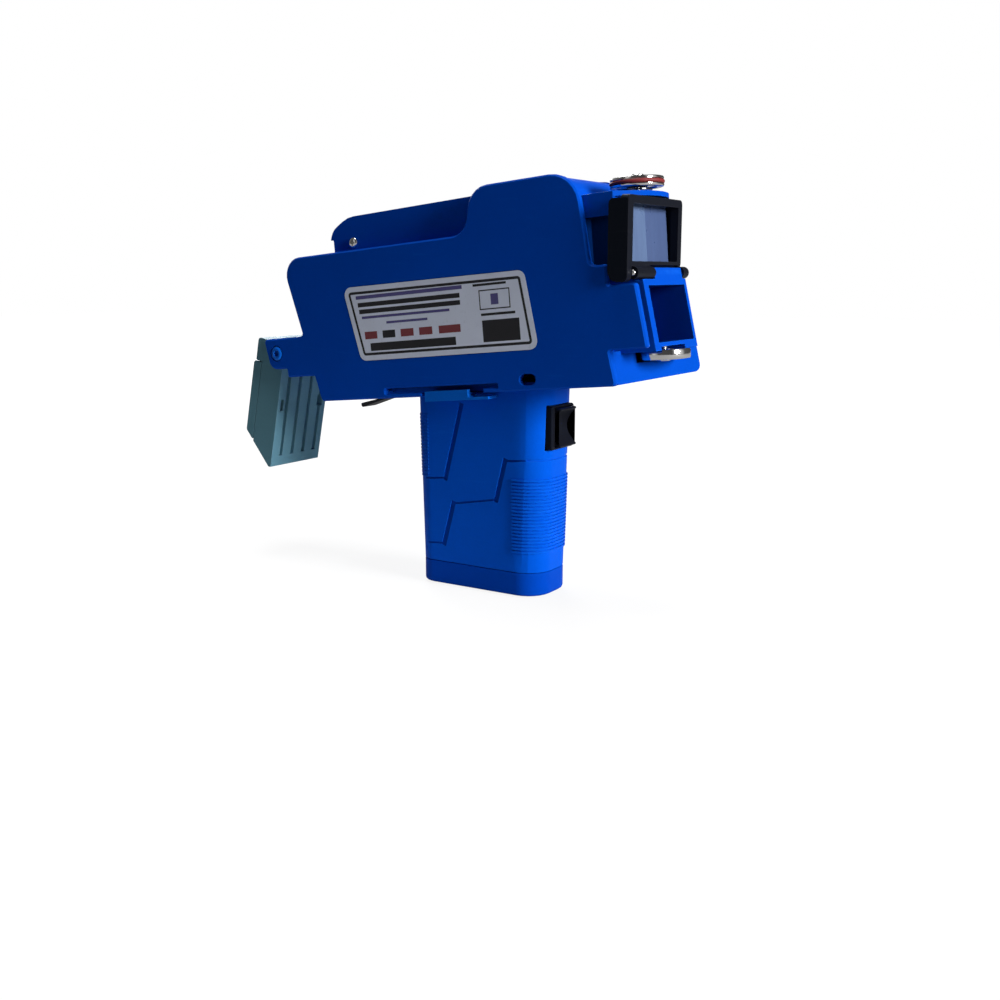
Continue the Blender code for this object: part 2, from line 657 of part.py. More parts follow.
def frame_openings():
    """Bay, window, sleeve hollow, finger recess, wheel slot, sensor pocket and hinge bores of the frame."""
    cuts = bmesh.new()
    block(cuts, (FRAME_REAR + REVEAL, OPENING_NEAR, LOWER_OPENING_FLOOR),
          (FRONT_FOOT + 6.0, LOWER_OPENING_FAR, CROSSBAR_BOTTOM))
    block(cuts, (FRAME_REAR - 1.0, OPENING_NEAR, UPPER_OPENING_FLOOR),
          (UPPER_FRONT + 2.0, UPPER_OPENING_FAR, UPPER_OPENING_TOP))
    block(cuts, (SLEEVE_REAR + WALL, SLEEVE_NEAR + WALL, SLEEVE_BOTTOM + WALL),
          (FRAME_REAR + 2.0, SLEEVE_FAR - WALL, SLEEVE_TOP - WALL))
    block(cuts, (RECESS_REAR, -NECK_HALF_WIDTH - 1.0, FINGER_NOTCH_FLOOR + GAP),
          (UPPER_FRONT + 1.0, -NECK_HALF_WIDTH + RECESS_DEPTH, BROW_BOTTOM))
    disc(cuts, (LOWER_WHEEL[0], 0.0), WHEEL_SLOT_RADIUS, *WHEEL_SLOT, axis="Z", sides=32)
    disc(cuts, (LOWER_WHEEL[0], 0.0), AXLE_HOLE, WHEEL_SLOT[1] - 1.0, LOWER_OPENING_FLOOR - 0.4, axis="Z")
    disc(cuts, (TOP_WHEEL[0], 0.0), AXLE_HOLE, SHELF_BOTTOM + 0.4, SHELF_TOP + 1.0, axis="Z")
    block(cuts, (TOP_WHEEL[0] - SENSOR_REACH, -SENSOR_HALF_WIDTH, SENSOR_FOOT),
          (TOP_WHEEL[0] - SENSOR_REACH + SENSOR_LENGTH, SENSOR_HALF_WIDTH, SHELF_TOP + 1.0))
    hinge = (HINGE_U, HINGE_W)
    pocket = BARREL_RADIUS + BARREL_CLEARANCE
    disc(cuts, hinge, pocket, NEAR_BARREL[0] - 1.0, KNUCKLE[0])
    disc(cuts, hinge, pocket, KNUCKLE[1], FRAME_FAR + 1.0)
    disc(cuts, hinge, PIN_BORE, KNUCKLE[0] - 1.0, KNUCKLE[1] + 1.0, sides=16)
    return cuts


def front_frame(body):
    """Print face frame: toe, cheek block, crossbar, shelf and the cartridge sleeve behind."""
    shape = bmesh.new()
    lower = [(FRAME_REAR, TOE_TOP - 1.0), (front_edge(TOE_TOP - 1.0), TOE_TOP - 1.0),
             (front_edge(CROSSBAR_TOP), CROSSBAR_TOP), (FRAME_REAR, CROSSBAR_TOP)]
    prism(shape, lower, FRAME_NEAR, FRAME_FAR)
    frame = piece("front_frame", shape, "blue_plastic", body)
    combine(frame, frame_solids(), "UNION")
    combine(frame, frame_openings(), "DIFFERENCE")


def cartridge_pieces(body):
    """Ink cartridge in the upper half of the sleeve, its face plate and its contact board."""
    floor = UPPER_OPENING_FLOOR + GAP
    top = UPPER_OPENING_TOP - GAP
    rear = SLEEVE_REAR + WALL + 2.2
    near = OPENING_NEAR + GAP
    far = SLEEVE_FAR - WALL - GAP
    shape = bmesh.new()
    block(shape, (rear, near, floor), (UPPER_FRONT - 1.0, far, top))
    cartridge = piece("ink_cartridge", shape, "black_plastic", body)
    chamfer(cartridge, 0.8)
    shape = bmesh.new()
    plate_front = UPPER_FRONT + GAP + 0.6
    plate_near = FRAME_NEAR + 0.6
    plate_far = UPPER_FAR - 0.4
    outline = [(UPPER_FRONT + GAP, plate_near), (plate_front, plate_near), (plate_front, 0.0),
               (plate_front - 0.3, 0.0), (plate_front - 0.3, plate_far), (UPPER_FRONT + GAP, plate_far)]
    prism(shape, outline, UPPER_OPENING_FLOOR - 1.0, SHELF_BOTTOM - GAP, axis="Z")
    piece("nozzle_plate", shape, "pale_plate", body)
    shape = bmesh.new()
    block(shape, (SLEEVE_REAR + WALL + GAP, near, floor + 1.0), (rear - GAP, far, top - 1.0))
    piece("contact_board", shape, "circuit_board", body)


def cartridge_latch(pivot):
    """Hinged frame with a window, side arms and two hinge barrels, about the pin."""
    back = LATCH_FRONT - LATCH_PLATE
    arm_back = LATCH_FRONT - LATCH_ARM_DEPTH
    shape = bmesh.new()
    plate = rectangle(LATCH_NEAR, LATCH_RAIL_BOTTOM, LATCH_FAR, LATCH_TOP, LATCH_CORNER)
    prism(shape, rounded(plate, 22.0), back, LATCH_FRONT, axis="X")
    latch = piece("cartridge_latch", shape, "black_plastic", pivot)
    parts = bmesh.new()
    near_arm = [(arm_back, LATCH_ARM_BOTTOM, 4.0), (LATCH_FRONT, LATCH_ARM_BOTTOM, 2.0),
                (LATCH_FRONT, LATCH_ARM_TOP, 0.8), (arm_back, LATCH_ARM_TOP, 2.0)]
    prism(parts, rounded(near_arm, 22.0), LATCH_NEAR, LATCH_NEAR + NEAR_ARM_THICKNESS)
    far_arm = [(arm_back, FAR_ARM_BOTTOM, 2.0), (LATCH_FRONT - 0.2, FAR_ARM_BOTTOM, 0.6),
               (LATCH_FRONT - 0.2, LATCH_ARM_TOP, 0.8), (arm_back, LATCH_ARM_TOP, 2.0)]
    prism(parts, rounded(far_arm, 22.0), LATCH_FAR - FAR_ARM_THICKNESS, LATCH_FAR)
    for low, high in (NEAR_BARREL, FAR_BARREL):
        disc(parts, (0.0, 0.0), BARREL_RADIUS, low, high)
        block(parts, (BARREL_WEB[0], low + GAP, BARREL_WEB[1]),
              (LATCH_FRONT - GAP, min(high, LATCH_FAR) - GAP, LATCH_RAIL_BOTTOM + 1.0))
    combine(latch, parts, "UNION")
    cuts = bmesh.new()
    block(cuts, (back - 1.0, LATCH_WINDOW_Y[0], LATCH_WINDOW_Z[0]),
          (LATCH_FRONT + 1.0, LATCH_WINDOW_Y[1], LATCH_WINDOW_Z[1]))
    disc(cuts, (0.0, 0.0), PIN_BORE, NEAR_BARREL[0] - 0.1, FAR_BARREL[1] + 1.0, sides=16)
    disc(cuts, (0.0, 0.0), BARREL_RADIUS + BARREL_CLEARANCE, KNUCKLE[0] - GAP / 2.0, KNUCKLE[1] + GAP / 2.0)
    combine(latch, cuts, "DIFFERENCE")
    shape = bmesh.new()
    disc(shape, (0.0, 0.0), PIN_RADIUS, NEAR_BARREL[0] + GAP, FAR_BARREL[1] + 0.4, sides=16)
    piece("latch_pin", shape, "polished_steel", pivot, smooth=True)


def wheel_profile(grooved):
    """Closed rim section of a guide wheel, with an O-ring groove if grooved."""
    half = WHEEL_THICKNESS / 2.0
    groove = RING_GROOVE_WIDTH / 2.0
    rim = [(WHEEL_BORE, half), (WHEEL_BORE, -half), (WHEEL_RADIUS - WHEEL_EDGE, -half),
           (WHEEL_RADIUS, -half + WHEEL_EDGE)]
    if grooved:
        floor = WHEEL_RADIUS - RING_GROOVE_DEPTH
        rim += [(WHEEL_RADIUS, -groove), (floor, -groove), (floor, groove), (WHEEL_RADIUS, groove)]
    return rim + [(WHEEL_RADIUS, half - WHEEL_EDGE), (WHEEL_RADIUS - WHEEL_EDGE, half)]


def guide_wheels(body):
    """Top wheel with its red ring and encoder disc, and the lower wheel, each on an axle."""
    top = frame_empty("top_wheel_axis", TOP_WHEEL[0], 0.0, TOP_WHEEL[1], -AXLE_LEAN, body)
    lower = frame_empty("lower_wheel_axis", LOWER_WHEEL[0], 0.0, LOWER_WHEEL[1], -AXLE_LEAN, body)
    half = WHEEL_THICKNESS / 2.0
    shape = bmesh.new()
    turned(shape, wheel_profile(True))
    piece("top_guide_wheel", shape, "polished_steel", top, smooth=True)
    shape = bmesh.new()
    centre = WHEEL_RADIUS - RING_GROOVE_DEPTH + 0.1 + RING_SECTION
    section = [(centre + RING_SECTION * math.cos(turn), RING_SECTION * math.sin(turn))
               for turn in (2.0 * math.pi * point / 8 for point in range(8))]
    turned(shape, section)
    piece("top_wheel_ring", shape, "red_rubber", top, smooth=True)
    shape = bmesh.new()
    disc_low = -half - 0.9
    turned(shape, [(WHEEL_BORE + 0.2, disc_low + ENCODER_THICKNESS), (WHEEL_BORE + 0.2, disc_low),
                   (ENCODER_RADIUS, disc_low), (ENCODER_RADIUS, disc_low + ENCODER_THICKNESS)], 24)
    piece("encoder_disc", shape, "dark_glass", top, smooth=True)
    shape = bmesh.new()
    sensor_rear = TOP_WHEEL[0] - SENSOR_REACH + GAP
    sensor_front = TOP_WHEEL[0] - SENSOR_REACH + SENSOR_LENGTH - GAP
    block(shape, (sensor_rear, -SENSOR_HALF_WIDTH + GAP, SENSOR_FOOT + GAP),
          (sensor_front, SENSOR_HALF_WIDTH - GAP, SHELF_TOP + SENSOR_PROUD))
    piece("encoder_sensor", shape, "black_plastic", body)
    shape = bmesh.new()
    turned(shape, wheel_profile(False))
    piece("lower_guide_wheel", shape, "polished_steel", lower, smooth=True)
    axle("top_wheel_axle", top, SHELF_BOTTOM + 0.9 - TOP_WHEEL[1], half + 0.3, 0.9)
    axle("lower_wheel_axle", lower, TOE_TOP + 1.3 - LOWER_WHEEL[1], -half - 0.2, -0.5)


def axle(name, parent, foot, shoulder, head):
    """Axle pin with a flat head that keeps its wheel on."""
    shape = bmesh.new()
    stations = ((AXLE_RADIUS, foot), (AXLE_RADIUS, shoulder),
                (AXLE_HEAD_RADIUS, shoulder), (AXLE_HEAD_RADIUS, shoulder + head))
    spindle(shape, (0.0, 0.0), stations, axis="Z", sides=24)
    piece(name, shape, "polished_steel", parent, smooth=True)


def grip_outline(inward, level):
    """Rounded (x, y) section of the grip; level 0 is the base and 1 is under the body."""
    low = 1.0 - level
    half = GRIP_WIDTH / 2.0 - GRIP_SIDE_TAPER * low - inward
    rear = GRIP_REAR + GRIP_REAR_TAPER * low + inward
    front = GRIP_FRONT - GRIP_FRONT_TAPER * low - inward
    rear_corner = GRIP_REAR_CORNER - inward
    front_corner = GRIP_FRONT_CORNER - inward
    return rounded([(rear, -half, rear_corner), (front, -half, front_corner),
                    (front, half, front_corner), (rear, half, rear_corner)], 15.0)


def grip_side_grooves(cuts, side):
    """Stepped groove lines on one side of the grip, drawn as thin ribbons in (x, z)."""
    face = side * (GRIP_WIDTH / 2.0 - GROOVE_DEPTH)
    ends = sorted((face, side * (GRIP_WIDTH / 2.0 + 2.0)))
    for path in GROOVE_PATHS:
        for first, second in zip(path, path[1:]):
            start, end = Vector(first), Vector(second)
            run = end - start
            width = LEVEL_GROOVE if abs(run.x) > abs(run.y) else SLANT_GROOVE
            along = run.normalized() * (width / 2.0)
            across = Vector((-along.y, along.x))
            start, end = start - along, end + along
            ribbon = (start + across, start - across, end - across, end + across)
            prism(cuts, ribbon, *ends)


def grip_shell():
    """Open tube from the base cap up to the sloping underside of the body."""
    shape = bmesh.new()
    loops = []
    for inward in (0.0, GRIP_WALL):
        foot = [Vector((x, y, BASE_HEIGHT + GAP)) for x, y in grip_outline(inward, 0.0)]
        head = [Vector((x, y, underside(x) - GAP)) for x, y in grip_outline(inward, 1.0)]
        loops.append([shape.verts.new(point * MM) for point in foot])
        loops.append([shape.verts.new(point * MM) for point in head])
    outer_foot, outer_head, inner_foot, inner_head = loops
    around = (outer_foot, outer_head, inner_head, inner_foot, outer_foot)
    for first, second in zip(around, around[1:]):
        for index in range(len(first)):
            shape.faces.new((first[index - 1], first[index], second[index], second[index - 1]))
    shell = piece("grip_shell", shape, "blue_plastic")
    cuts = bmesh.new()
    half_width = BEZEL_HALF_WIDTH + GAP
    half_height = BEZEL_HEIGHT / 2.0 + GAP
    block(cuts, (GRIP_FRONT - GRIP_FRONT_CORNER, -half_width, TRIGGER_Z - half_height),
          (GRIP_FRONT + 1.0, half_width, TRIGGER_Z + half_height))
    for side in (-1.0, 1.0):
        grip_side_grooves(cuts, side)
    combine(shell, cuts, "DIFFERENCE")


def grip_base_cap():
    """Base cap with a plug that closes the foot of the grip."""
    shape = bmesh.new()
    prism(shape, grip_outline(0.0, 0.0), 0.0, BASE_HEIGHT, axis="Z")
    cap = piece("grip_base_cap", shape, "blue_plastic")
    chamfer_face(cap, 2, -1.0, BASE_BEVEL)
    plug = bmesh.new()
    prism(plug, grip_outline(GRIP_WALL + GAP, 0.0), BASE_HEIGHT - 1.0, BASE_HEIGHT + 3.0, axis="Z")
    combine(cap, plug, "UNION")


def grip_front(z):
    """World x of the grip's front face at a height."""
    top = underside(GRIP_FRONT)
    return GRIP_FRONT - GRIP_FRONT_TAPER * (top - z) / (top - BASE_HEIGHT)


def trigger_pieces():
    """Bezel on the front of the grip, its dished button and the switch behind it."""
    low = TRIGGER_Z - BEZEL_HEIGHT / 2.0
    high = TRIGGER_Z + BEZEL_HEIGHT / 2.0
    seat = grip_front(TRIGGER_Z)
    shape = bmesh.new()
    prism(shape, rounded(rectangle(-BEZEL_HALF_WIDTH, low, BEZEL_HALF_WIDTH, high, 1.2), 30.0),
          seat + BEZEL_PROUD - BEZEL_DEPTH, seat + BEZEL_PROUD, axis="X")
    bezel = piece("trigger_bezel", shape, "black_plastic")
    chamfer_face(bezel, 0, 1.0, 0.5)
    hole = bmesh.new()
    block(hole, (seat - BEZEL_DEPTH, -BUTTON_HALF_WIDTH - GAP, TRIGGER_Z - BUTTON_HEIGHT / 2.0 - GAP),
          (seat + BEZEL_DEPTH, BUTTON_HALF_WIDTH + GAP, TRIGGER_Z + BUTTON_HEIGHT / 2.0 + GAP))
    combine(bezel, hole, "DIFFERENCE")
    pivot = frame_empty("trigger_axis", BUTTON_REAR, 0.0, TRIGGER_Z)
    half = BUTTON_HEIGHT / 2.0
    tip = seat + BUTTON_PROUD - BUTTON_REAR
    outline = [(0.0, -half), (tip - 1.0, -half)]
    steps = 10
    for step in range(steps + 1):
        share = 2.0 * step / steps - 1.0
        outline.append((tip - BUTTON_DISH * (1.0 - share * share), half * share * 0.94))
    outline += [(tip - 1.0, half), (0.0, half)]
    shape = bmesh.new()
    prism(shape, outline, -BUTTON_HALF_WIDTH, BUTTON_HALF_WIDTH)
    piece("trigger_button", shape, "black_plastic", pivot, smooth=True)
    shape = bmesh.new()
    block(shape, (BUTTON_REAR - TRIGGER_TRAVEL - 7.0, -3.2, TRIGGER_Z - 6.0),
          (BUTTON_REAR - TRIGGER_TRAVEL - GAP, 3.2, TRIGGER_Z + 6.0))
    piece("trigger_switch", shape, "black_plastic")


def grip_cells():
    """Two round cells with a link strip under both and a contact on top of each."""
    top = CELL_FOOT + CELL_LENGTH + GAP
    for place_name, x in zip(("rear", "front"), CELL_X):
        shape = bmesh.new()
        disc(shape, (x, 0.0), CELL_RADIUS, CELL_FOOT, CELL_FOOT + CELL_LENGTH, axis="Z")
        piece(f"battery_cell_{place_name}", shape, "cell_wrap", smooth=True)
        shape = bmesh.new()
        disc(shape, (x, 0.0), CELL_RADIUS - 3.0, top, top + 0.6, axis="Z", sides=14)
        piece(f"battery_contact_{place_name}", shape, "brass", smooth=True)
    shape = bmesh.new()
    block(shape, (CELL_X[0] - 4.0, -4.0, CELL_FOOT - GAP - 0.6), (CELL_X[1] + 4.0, 4.0, CELL_FOOT - GAP))
    piece("battery_link_strip", shape, "brass")


def display_floor(behind):
    """Height of the display's slanted underside at a distance behind the pivot."""
    return -DISPLAY_LENGTH + (behind - DISPLAY_TOE) * DISPLAY_SLANT


def display_pieces(pivot):
    """Tilting display: ribbed shell with hinge barrel, rear bezel, glass and board."""
    near, far = DISPLAY_NEAR, DISPLAY_FAR
    split = -DISPLAY_SHELL
    seam = GAP - DISPLAY_SEAM
    side = [(-DISPLAY_FRONT, DISPLAY_TOP, 2.5), (-DISPLAY_HEAD_REAR, DISPLAY_TOP, 1.5),
            (-DISPLAY_HEAD_REAR, seam, 0.5), (split, seam, 0.4), (split, display_floor(DISPLAY_SHELL), 0.6),
            (-DISPLAY_TOE, -DISPLAY_LENGTH, 0.6), (-DISPLAY_FRONT, -DISPLAY_LENGTH, 0.4)]
    shape = bmesh.new()
    prism(shape, rounded(side[::-1], 30.0), near, far)
    shell = piece("display_housing", shape, "grey_green_plastic", pivot)
    barrel = bmesh.new()
    disc(barrel, (0.0, 0.0), DISPLAY_BARREL, near, far, sides=24)
    combine(shell, barrel, "UNION")
    cuts = bmesh.new()
    block(cuts, (split - 1.0, near + 2.0, display_floor(DISPLAY_SHELL) + 2.0),
          (-DISPLAY_FRONT - 6.2, far - 2.0, -DISPLAY_SEAM - 2.0))
    for middle in RIB_LINES:
        block(cuts, (-DISPLAY_FRONT - RIB_DEPTH, middle - RIB_GAP_WIDTH / 2.0, -RIB_BOTTOM),
              (-DISPLAY_FRONT + 1.0, middle + RIB_GAP_WIDTH / 2.0, -RIB_TOP))
    for low, high in VENTS:
        block(cuts, (-DISPLAY_FRONT - VENT_DEPTH, low, -VENT_BOTTOM), (-DISPLAY_FRONT + 1.0, high, -VENT_TOP))
    disc(cuts, (0.0, 0.0), PIVOT_BORE, near - 1.0, near + 7.0, sides=16)
    disc(cuts, (0.0, 0.0), PIVOT_BORE, far - 7.0, far + 1.0, sides=16)
    combine(shell, cuts, "DIFFERENCE")
    display_bezel(pivot, split - GAP)


def display_bezel(pivot, front):
    """Rear bezel around the screen, with the screen glass and the board behind it."""
    near, far = DISPLAY_NEAR, DISPLAY_FAR
    rear = -DISPLAY_REAR
    side = [(front, -DISPLAY_SEAM, 0.6), (rear, -DISPLAY_SEAM, 1.5),
            (rear, display_floor(DISPLAY_REAR), 1.5), (front, display_floor(-front), 0.6)]
    shape = bmesh.new()
    prism(shape, rounded(side[::-1], 30.0), near, far)
    bezel = piece("display_bezel", shape, "grey_green_plastic", pivot)
    top = -DISPLAY_SEAM - BEZEL_FRAME
    bottom = display_floor(DISPLAY_REAR) + BEZEL_FRAME
    cuts = bmesh.new()
    block(cuts, (rear - 1.0, near + BEZEL_FRAME, bottom), (front + 1.0, far - BEZEL_FRAME, top))
    combine(bezel, cuts, "DIFFERENCE")
    shape = bmesh.new()
    block(shape, (rear + GLASS_RECESS, near + BEZEL_FRAME + GAP, bottom + GAP),
          (rear + GLASS_RECESS + 1.4, far - BEZEL_FRAME - GAP, top - GAP))
    piece("display_glass", shape, "dark_glass", pivot)
    shape = bmesh.new()
    block(shape, (rear + 3.0, near + BEZEL_FRAME + GAP, bottom + GAP),
          (front + 0.6, far - BEZEL_FRAME - GAP, top - 4.0))
    piece("display_board", shape, "circuit_board", pivot)


def screw(name, parent, centre, seat, inward, length, shank, head=(SCREW_HEAD, SCREW_HEAD_DEPTH)):
    """Round-headed screw along Y, with its head outside the seat and its shank inwards."""
    shape = bmesh.new()
    radius, depth = head
    top = seat - inward * depth
    stations = ((radius - 0.5, top), (radius, top + inward * 0.5), (radius, seat),
                (shank, seat), (shank, seat + inward * length))
    spindle(shape, centre, stations)
    piece(name, shape, "polished_steel", parent, smooth=True)


def fasteners(body):
    """Display pivot screws, far side case screws and the two top cover screws."""
    outer = BODY_HALF_WIDTH
    pivot = (PIVOT_U, PIVOT_W)
    seat = outer - SCREW_HEAD_DEPTH - 0.1
    pivot_head = (PIVOT_HEAD, PIVOT_HEAD_DEPTH)
    near_reach = outer + DISPLAY_NEAR + 3.5
    far_reach = outer - DISPLAY_FAR + 3.5
    screw("display_pivot_screw_right", body, pivot, -seat, 1.0, near_reach, PIVOT_SHANK, pivot_head)
    screw("display_pivot_screw_left", body, pivot, seat, -1.0, far_reach, PIVOT_SHANK, pivot_head)
    for number, centre in enumerate(BOSSES, 1):
        screw(f"case_screw_{number}", body, centre, seat, -1.0, SCREW_LENGTH - 1.0, SCREW_SHANK)
    hump = HUMP_HALF_WIDTH + 0.2
    screw("top_cover_screw_right", body, HUMP_SCREW, -hump, 1.0, 1.6, SCREW_SHANK)
    screw("top_cover_screw_left", body, HUMP_SCREW, hump, -1.0, 1.6, SCREW_SHANK)


def main_board(body):
    shape = bmesh.new()
    block(shape, *MAIN_BOARD)
    piece("main_board", shape, "circuit_board", body)


def grip_lock(body):
    """Slider that locks the grip: an angle piece in the cover's lower notch, with a thin tongue in front."""
    outer = -BODY_HALF_WIDTH + GAP
    inner = -BODY_HALF_WIDTH + COVER_THICKNESS - GAP
    grip_side = -GRIP_WIDTH / 2.0 - 3.0 * GAP
    angle = [(outer, LOCK_BOTTOM), (grip_side, LOCK_BOTTOM), (grip_side, 0.0),
             (inner, 0.0), (inner, LOCK_LIP_TOP), (outer, LOCK_LIP_TOP)]
    shape = bmesh.new()
    prism(shape, angle, LOCK_REAR, LOCK_FRONT, axis="X")
    slider = piece("grip_lock", shape, "blue_plastic", body)
    tongue = bmesh.new()
    block(tongue, (LOCK_FRONT - 1.0, outer, LOCK_BOTTOM),
          (LOCK_FRONT + LOCK_TONGUE, grip_side, LOCK_BOTTOM + LOCK_TONGUE_HEIGHT))
    combine(slider, tongue, "UNION")
    chamfer(slider, 0.4)


def port_pieces(body):
    """Charging socket in the underside and its wedge-shaped rubber flap with a raised root."""
    shape = bmesh.new()
    block(shape, (FLAP_HINGE_U - 11.4, FLAP_NEAR + 0.6, 0.6), (FLAP_HINGE_U - 2.6, FLAP_FAR - 0.6, 7.6))
    socket = piece("charge_port", shape, "polished_steel", body)
    mouth = bmesh.new()
    block(mouth, (FLAP_HINGE_U - 10.4, FLAP_NEAR + 1.6, -1.0), (FLAP_HINGE_U - 3.6, FLAP_FAR - 1.6, 6.0))
    combine(socket, mouth, "DIFFERENCE")
    pivot = frame_empty("flap_axis", FLAP_HINGE_U, 0.0, FLAP_HINGE_W, -FLAP_DROOP, body)
    half = FLAP_THICKNESS / 2.0
    wedge = [(half, -half, 0.3), (half, FLAP_ROOT, 0.4), (-FLAP_ROOT_LENGTH, FLAP_ROOT, 0.3),
             (-FLAP_ROOT_LENGTH, half, 0.2), (-FLAP_LENGTH, half, 0.5), (-FLAP_LENGTH, -FLAP_PLUG, 0.8)]
    shape = bmesh.new()
    prism(shape, rounded(wedge, 30.0), FLAP_NEAR + 0.4, FLAP_FAR - 0.4)
    piece("port_flap", shape, "black_rubber", pivot)


def build():
    clear_scene()
    body = frame_empty("body_frame", BODY_ORIGIN_X, 0.0, BODY_ORIGIN_Z, -BODY_PITCH)
    right_side_cover(body)
    left_side_cover(body)
    main_housing(body)
    top_cover(body)
    rating_label(body)
    front_frame(body)
    cartridge_pieces(body)
    latch_axis = frame_empty("latch_axis", HINGE_U, 0.0, HINGE_W, BODY_PITCH, body)
    cartridge_latch(latch_axis)
    guide_wheels(body)
    grip_shell()
    grip_base_cap()
    trigger_pieces()
    grip_cells()
    display_axis = frame_empty("display_axis", PIVOT_U, 0.0, PIVOT_W, BODY_PITCH + DISPLAY_LEAN, body)
    display_pieces(display_axis)
    fasteners(body)
    main_board(body)
    grip_lock(body)
    port_pieces(body)
    bpy.context.view_layer.update()


build()
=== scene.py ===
import json
import math

import bpy
from mathutils import Matrix, Vector


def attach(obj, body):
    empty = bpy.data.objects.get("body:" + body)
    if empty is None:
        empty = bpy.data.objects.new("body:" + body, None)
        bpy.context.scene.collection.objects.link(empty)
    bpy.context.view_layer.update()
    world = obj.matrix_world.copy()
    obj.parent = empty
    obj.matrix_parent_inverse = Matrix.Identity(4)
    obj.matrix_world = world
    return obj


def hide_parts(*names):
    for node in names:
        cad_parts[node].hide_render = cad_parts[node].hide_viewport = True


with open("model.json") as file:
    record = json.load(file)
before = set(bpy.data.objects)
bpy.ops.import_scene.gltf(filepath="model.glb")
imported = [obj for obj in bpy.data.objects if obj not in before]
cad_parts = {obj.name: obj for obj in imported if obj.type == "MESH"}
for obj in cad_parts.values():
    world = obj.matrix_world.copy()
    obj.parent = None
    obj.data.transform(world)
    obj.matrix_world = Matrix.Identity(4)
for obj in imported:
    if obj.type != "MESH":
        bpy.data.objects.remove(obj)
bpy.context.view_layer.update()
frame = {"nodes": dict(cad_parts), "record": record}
nodes = frame["nodes"]

MM = 0.001

# The body sits nose-up on the grip: u runs forward along it, w runs up from its underside.
BODY_PITCH = math.radians(5.3)
BODY_NOSE = Vector((70.4, 0.0, 92.8)) * MM

# Camera.
CAMERA_PLACE = (0.2686, -0.4187, 0.1357)
CAMERA_AZIMUTH = math.radians(32.4)
CAMERA_ELEVATION = math.radians(11.2)
CAMERA_LENS = 41.4

# Studio.
ROOM_LIGHT = 0.06
# Floor levels near the object and far from it, and the distances between which each one fades.
FLOOR_GLOW = (0.88, 1.0)
FLOOR_GLOW_REACH = (0.35, 1.4)
FLOOR_BOUNCE = (0.66, 0.14)
FLOOR_BOUNCE_REACH = (0.07, 0.26)
FLOOR_SHADE = 0.12
FLOOR_SIZE = 6.0
FLOOR_DROP = 0.0005
FLOOR_MIRRORED = 0.35
# Room as bright parts see it: turn around the object from the rear by its right, and brightness.
MIRROR_STRIPS = (
    (0.0, 0.20), (0.16, 0.06), (0.20, 0.75), (0.25, 0.08), (0.42, 0.06), (0.48, 0.70),
    (0.54, 0.70), (0.60, 0.10), (0.78, 0.06), (0.84, 0.45), (0.92, 0.35), (1.0, 0.20),
)
# Lamps: name, place, disc size and watts, all aimed at one point.
LAMPS = (
    ("key", (1.25, -0.11, 0.46), 0.5, 25.0),
    ("rear", (-0.9, 0.95, 0.8), 0.8, 16.0),
    ("top", (-0.05, 0.0, 1.25), 0.5, 8.0),
)
LAMP_AIM = (0.0, 0.0, 0.1)

# Label print: a border line inside the edge, and plain bars as (low w, high w, low u, high u, colour).
LABEL_MARGIN = 2.2
LABEL_LINE = 1.1
LABEL_W = (16.2, 48.0)
LABEL_U = (-128.0, -36.0)
FILM, INK, TINT, RED = 0, 1, 2, 3
LABEL_BARS = (
    (42.7, 44.2, -123.4, -67.4, TINT),
    (39.3, 41.2, -122.6, -68.8, INK),
    (36.4, 38.3, -122.2, -68.8, INK),
    (34.2, 35.3, -121.0, -74.4, TINT),
    (31.4, 32.4, -107.8, -86.0, TINT),
    (25.4, 28.6, -120.2, -113.4, RED),
    (25.4, 28.6, -110.4, -103.6, INK),
    (25.4, 28.6, -100.6, -93.8, RED),
    (25.4, 28.6, -90.8, -84.0, RED),
    (25.4, 28.6, -80.6, -69.6, RED),
    (20.2, 23.6, -117.6, -72.4, INK),
    (43.0, 44.0, -62.0, -46.0, INK),
    (40.9, 41.4, -59.4, -44.6, INK),
    (33.4, 33.9, -59.4, -44.6, INK),
    (33.9, 40.9, -59.4, -58.9, INK),
    (33.9, 40.9, -45.1, -44.6, INK),
    (35.2, 39.6, -53.8, -50.2, TINT),
    (31.0, 32.0, -59.0, -42.6, INK),
    (20.4, 29.2, -58.8, -41.0, INK),
)

# Guide wheels, leaning back with the print face.
WHEEL_RADIUS = 10.5
WHEEL_HALF = 2.0
WHEEL_BORE = 1.6
WHEEL_LEAN = math.radians(3.8)
TOP_WHEEL = (2.6, 77.0)
LOWER_WHEEL = (9.8, 10.6)
RING_CENTRE = 10.05
RING_GROOVE = 1.3
RING_SECTION = 0.75
AXLE_RADIUS = 1.5
AXLE_HEAD_RADIUS = 2.8

# Screws: head radius and depth, and where each one sits as (u, w) and along y.
SCREW_HEAD = 2.2
SCREW_DEPTH = 1.3
PIVOT = (-173.4, 22.2)
PIVOT_HEAD = 3.3
PIVOT_DEPTH = 1.9
COVER_SEAT = 22.1
LID_SCREW = (-126.4, 67.5)
LID_SEAT = 17.5
CASE_SCREWS = ((-139.0, 6.0), (-153.0, 58.6), (-20.0, 6.0), (-55.0, 77.6))

# Latch pin along the hinge.
HINGE = (8.8, 42.1)
PIN_RADIUS = 1.2
PIN_ENDS = (-22.0, 26.4)

# Spaces of the print face frame whose faces get painted shade, between two (u, y, w) corners: the lower bay,
# then the finger recess and wheel slot in deeper painted shade.
SHADE_SPACES = (
    ((-5.0, -12.6, 15.1), (8.4, 21.4, 37.4)),
    ((-46.0, -13.0, 13.4), (-5.0, 22.0, 38.5)),
)
DEEP_SHADE_SPACES = (
    ((-10.6, -20.6, 46.3), (3.0, -15.2, 64.5)),
    ((-6.0, -15.0, 7.6), (4.5, 21.5, 12.9)),
)

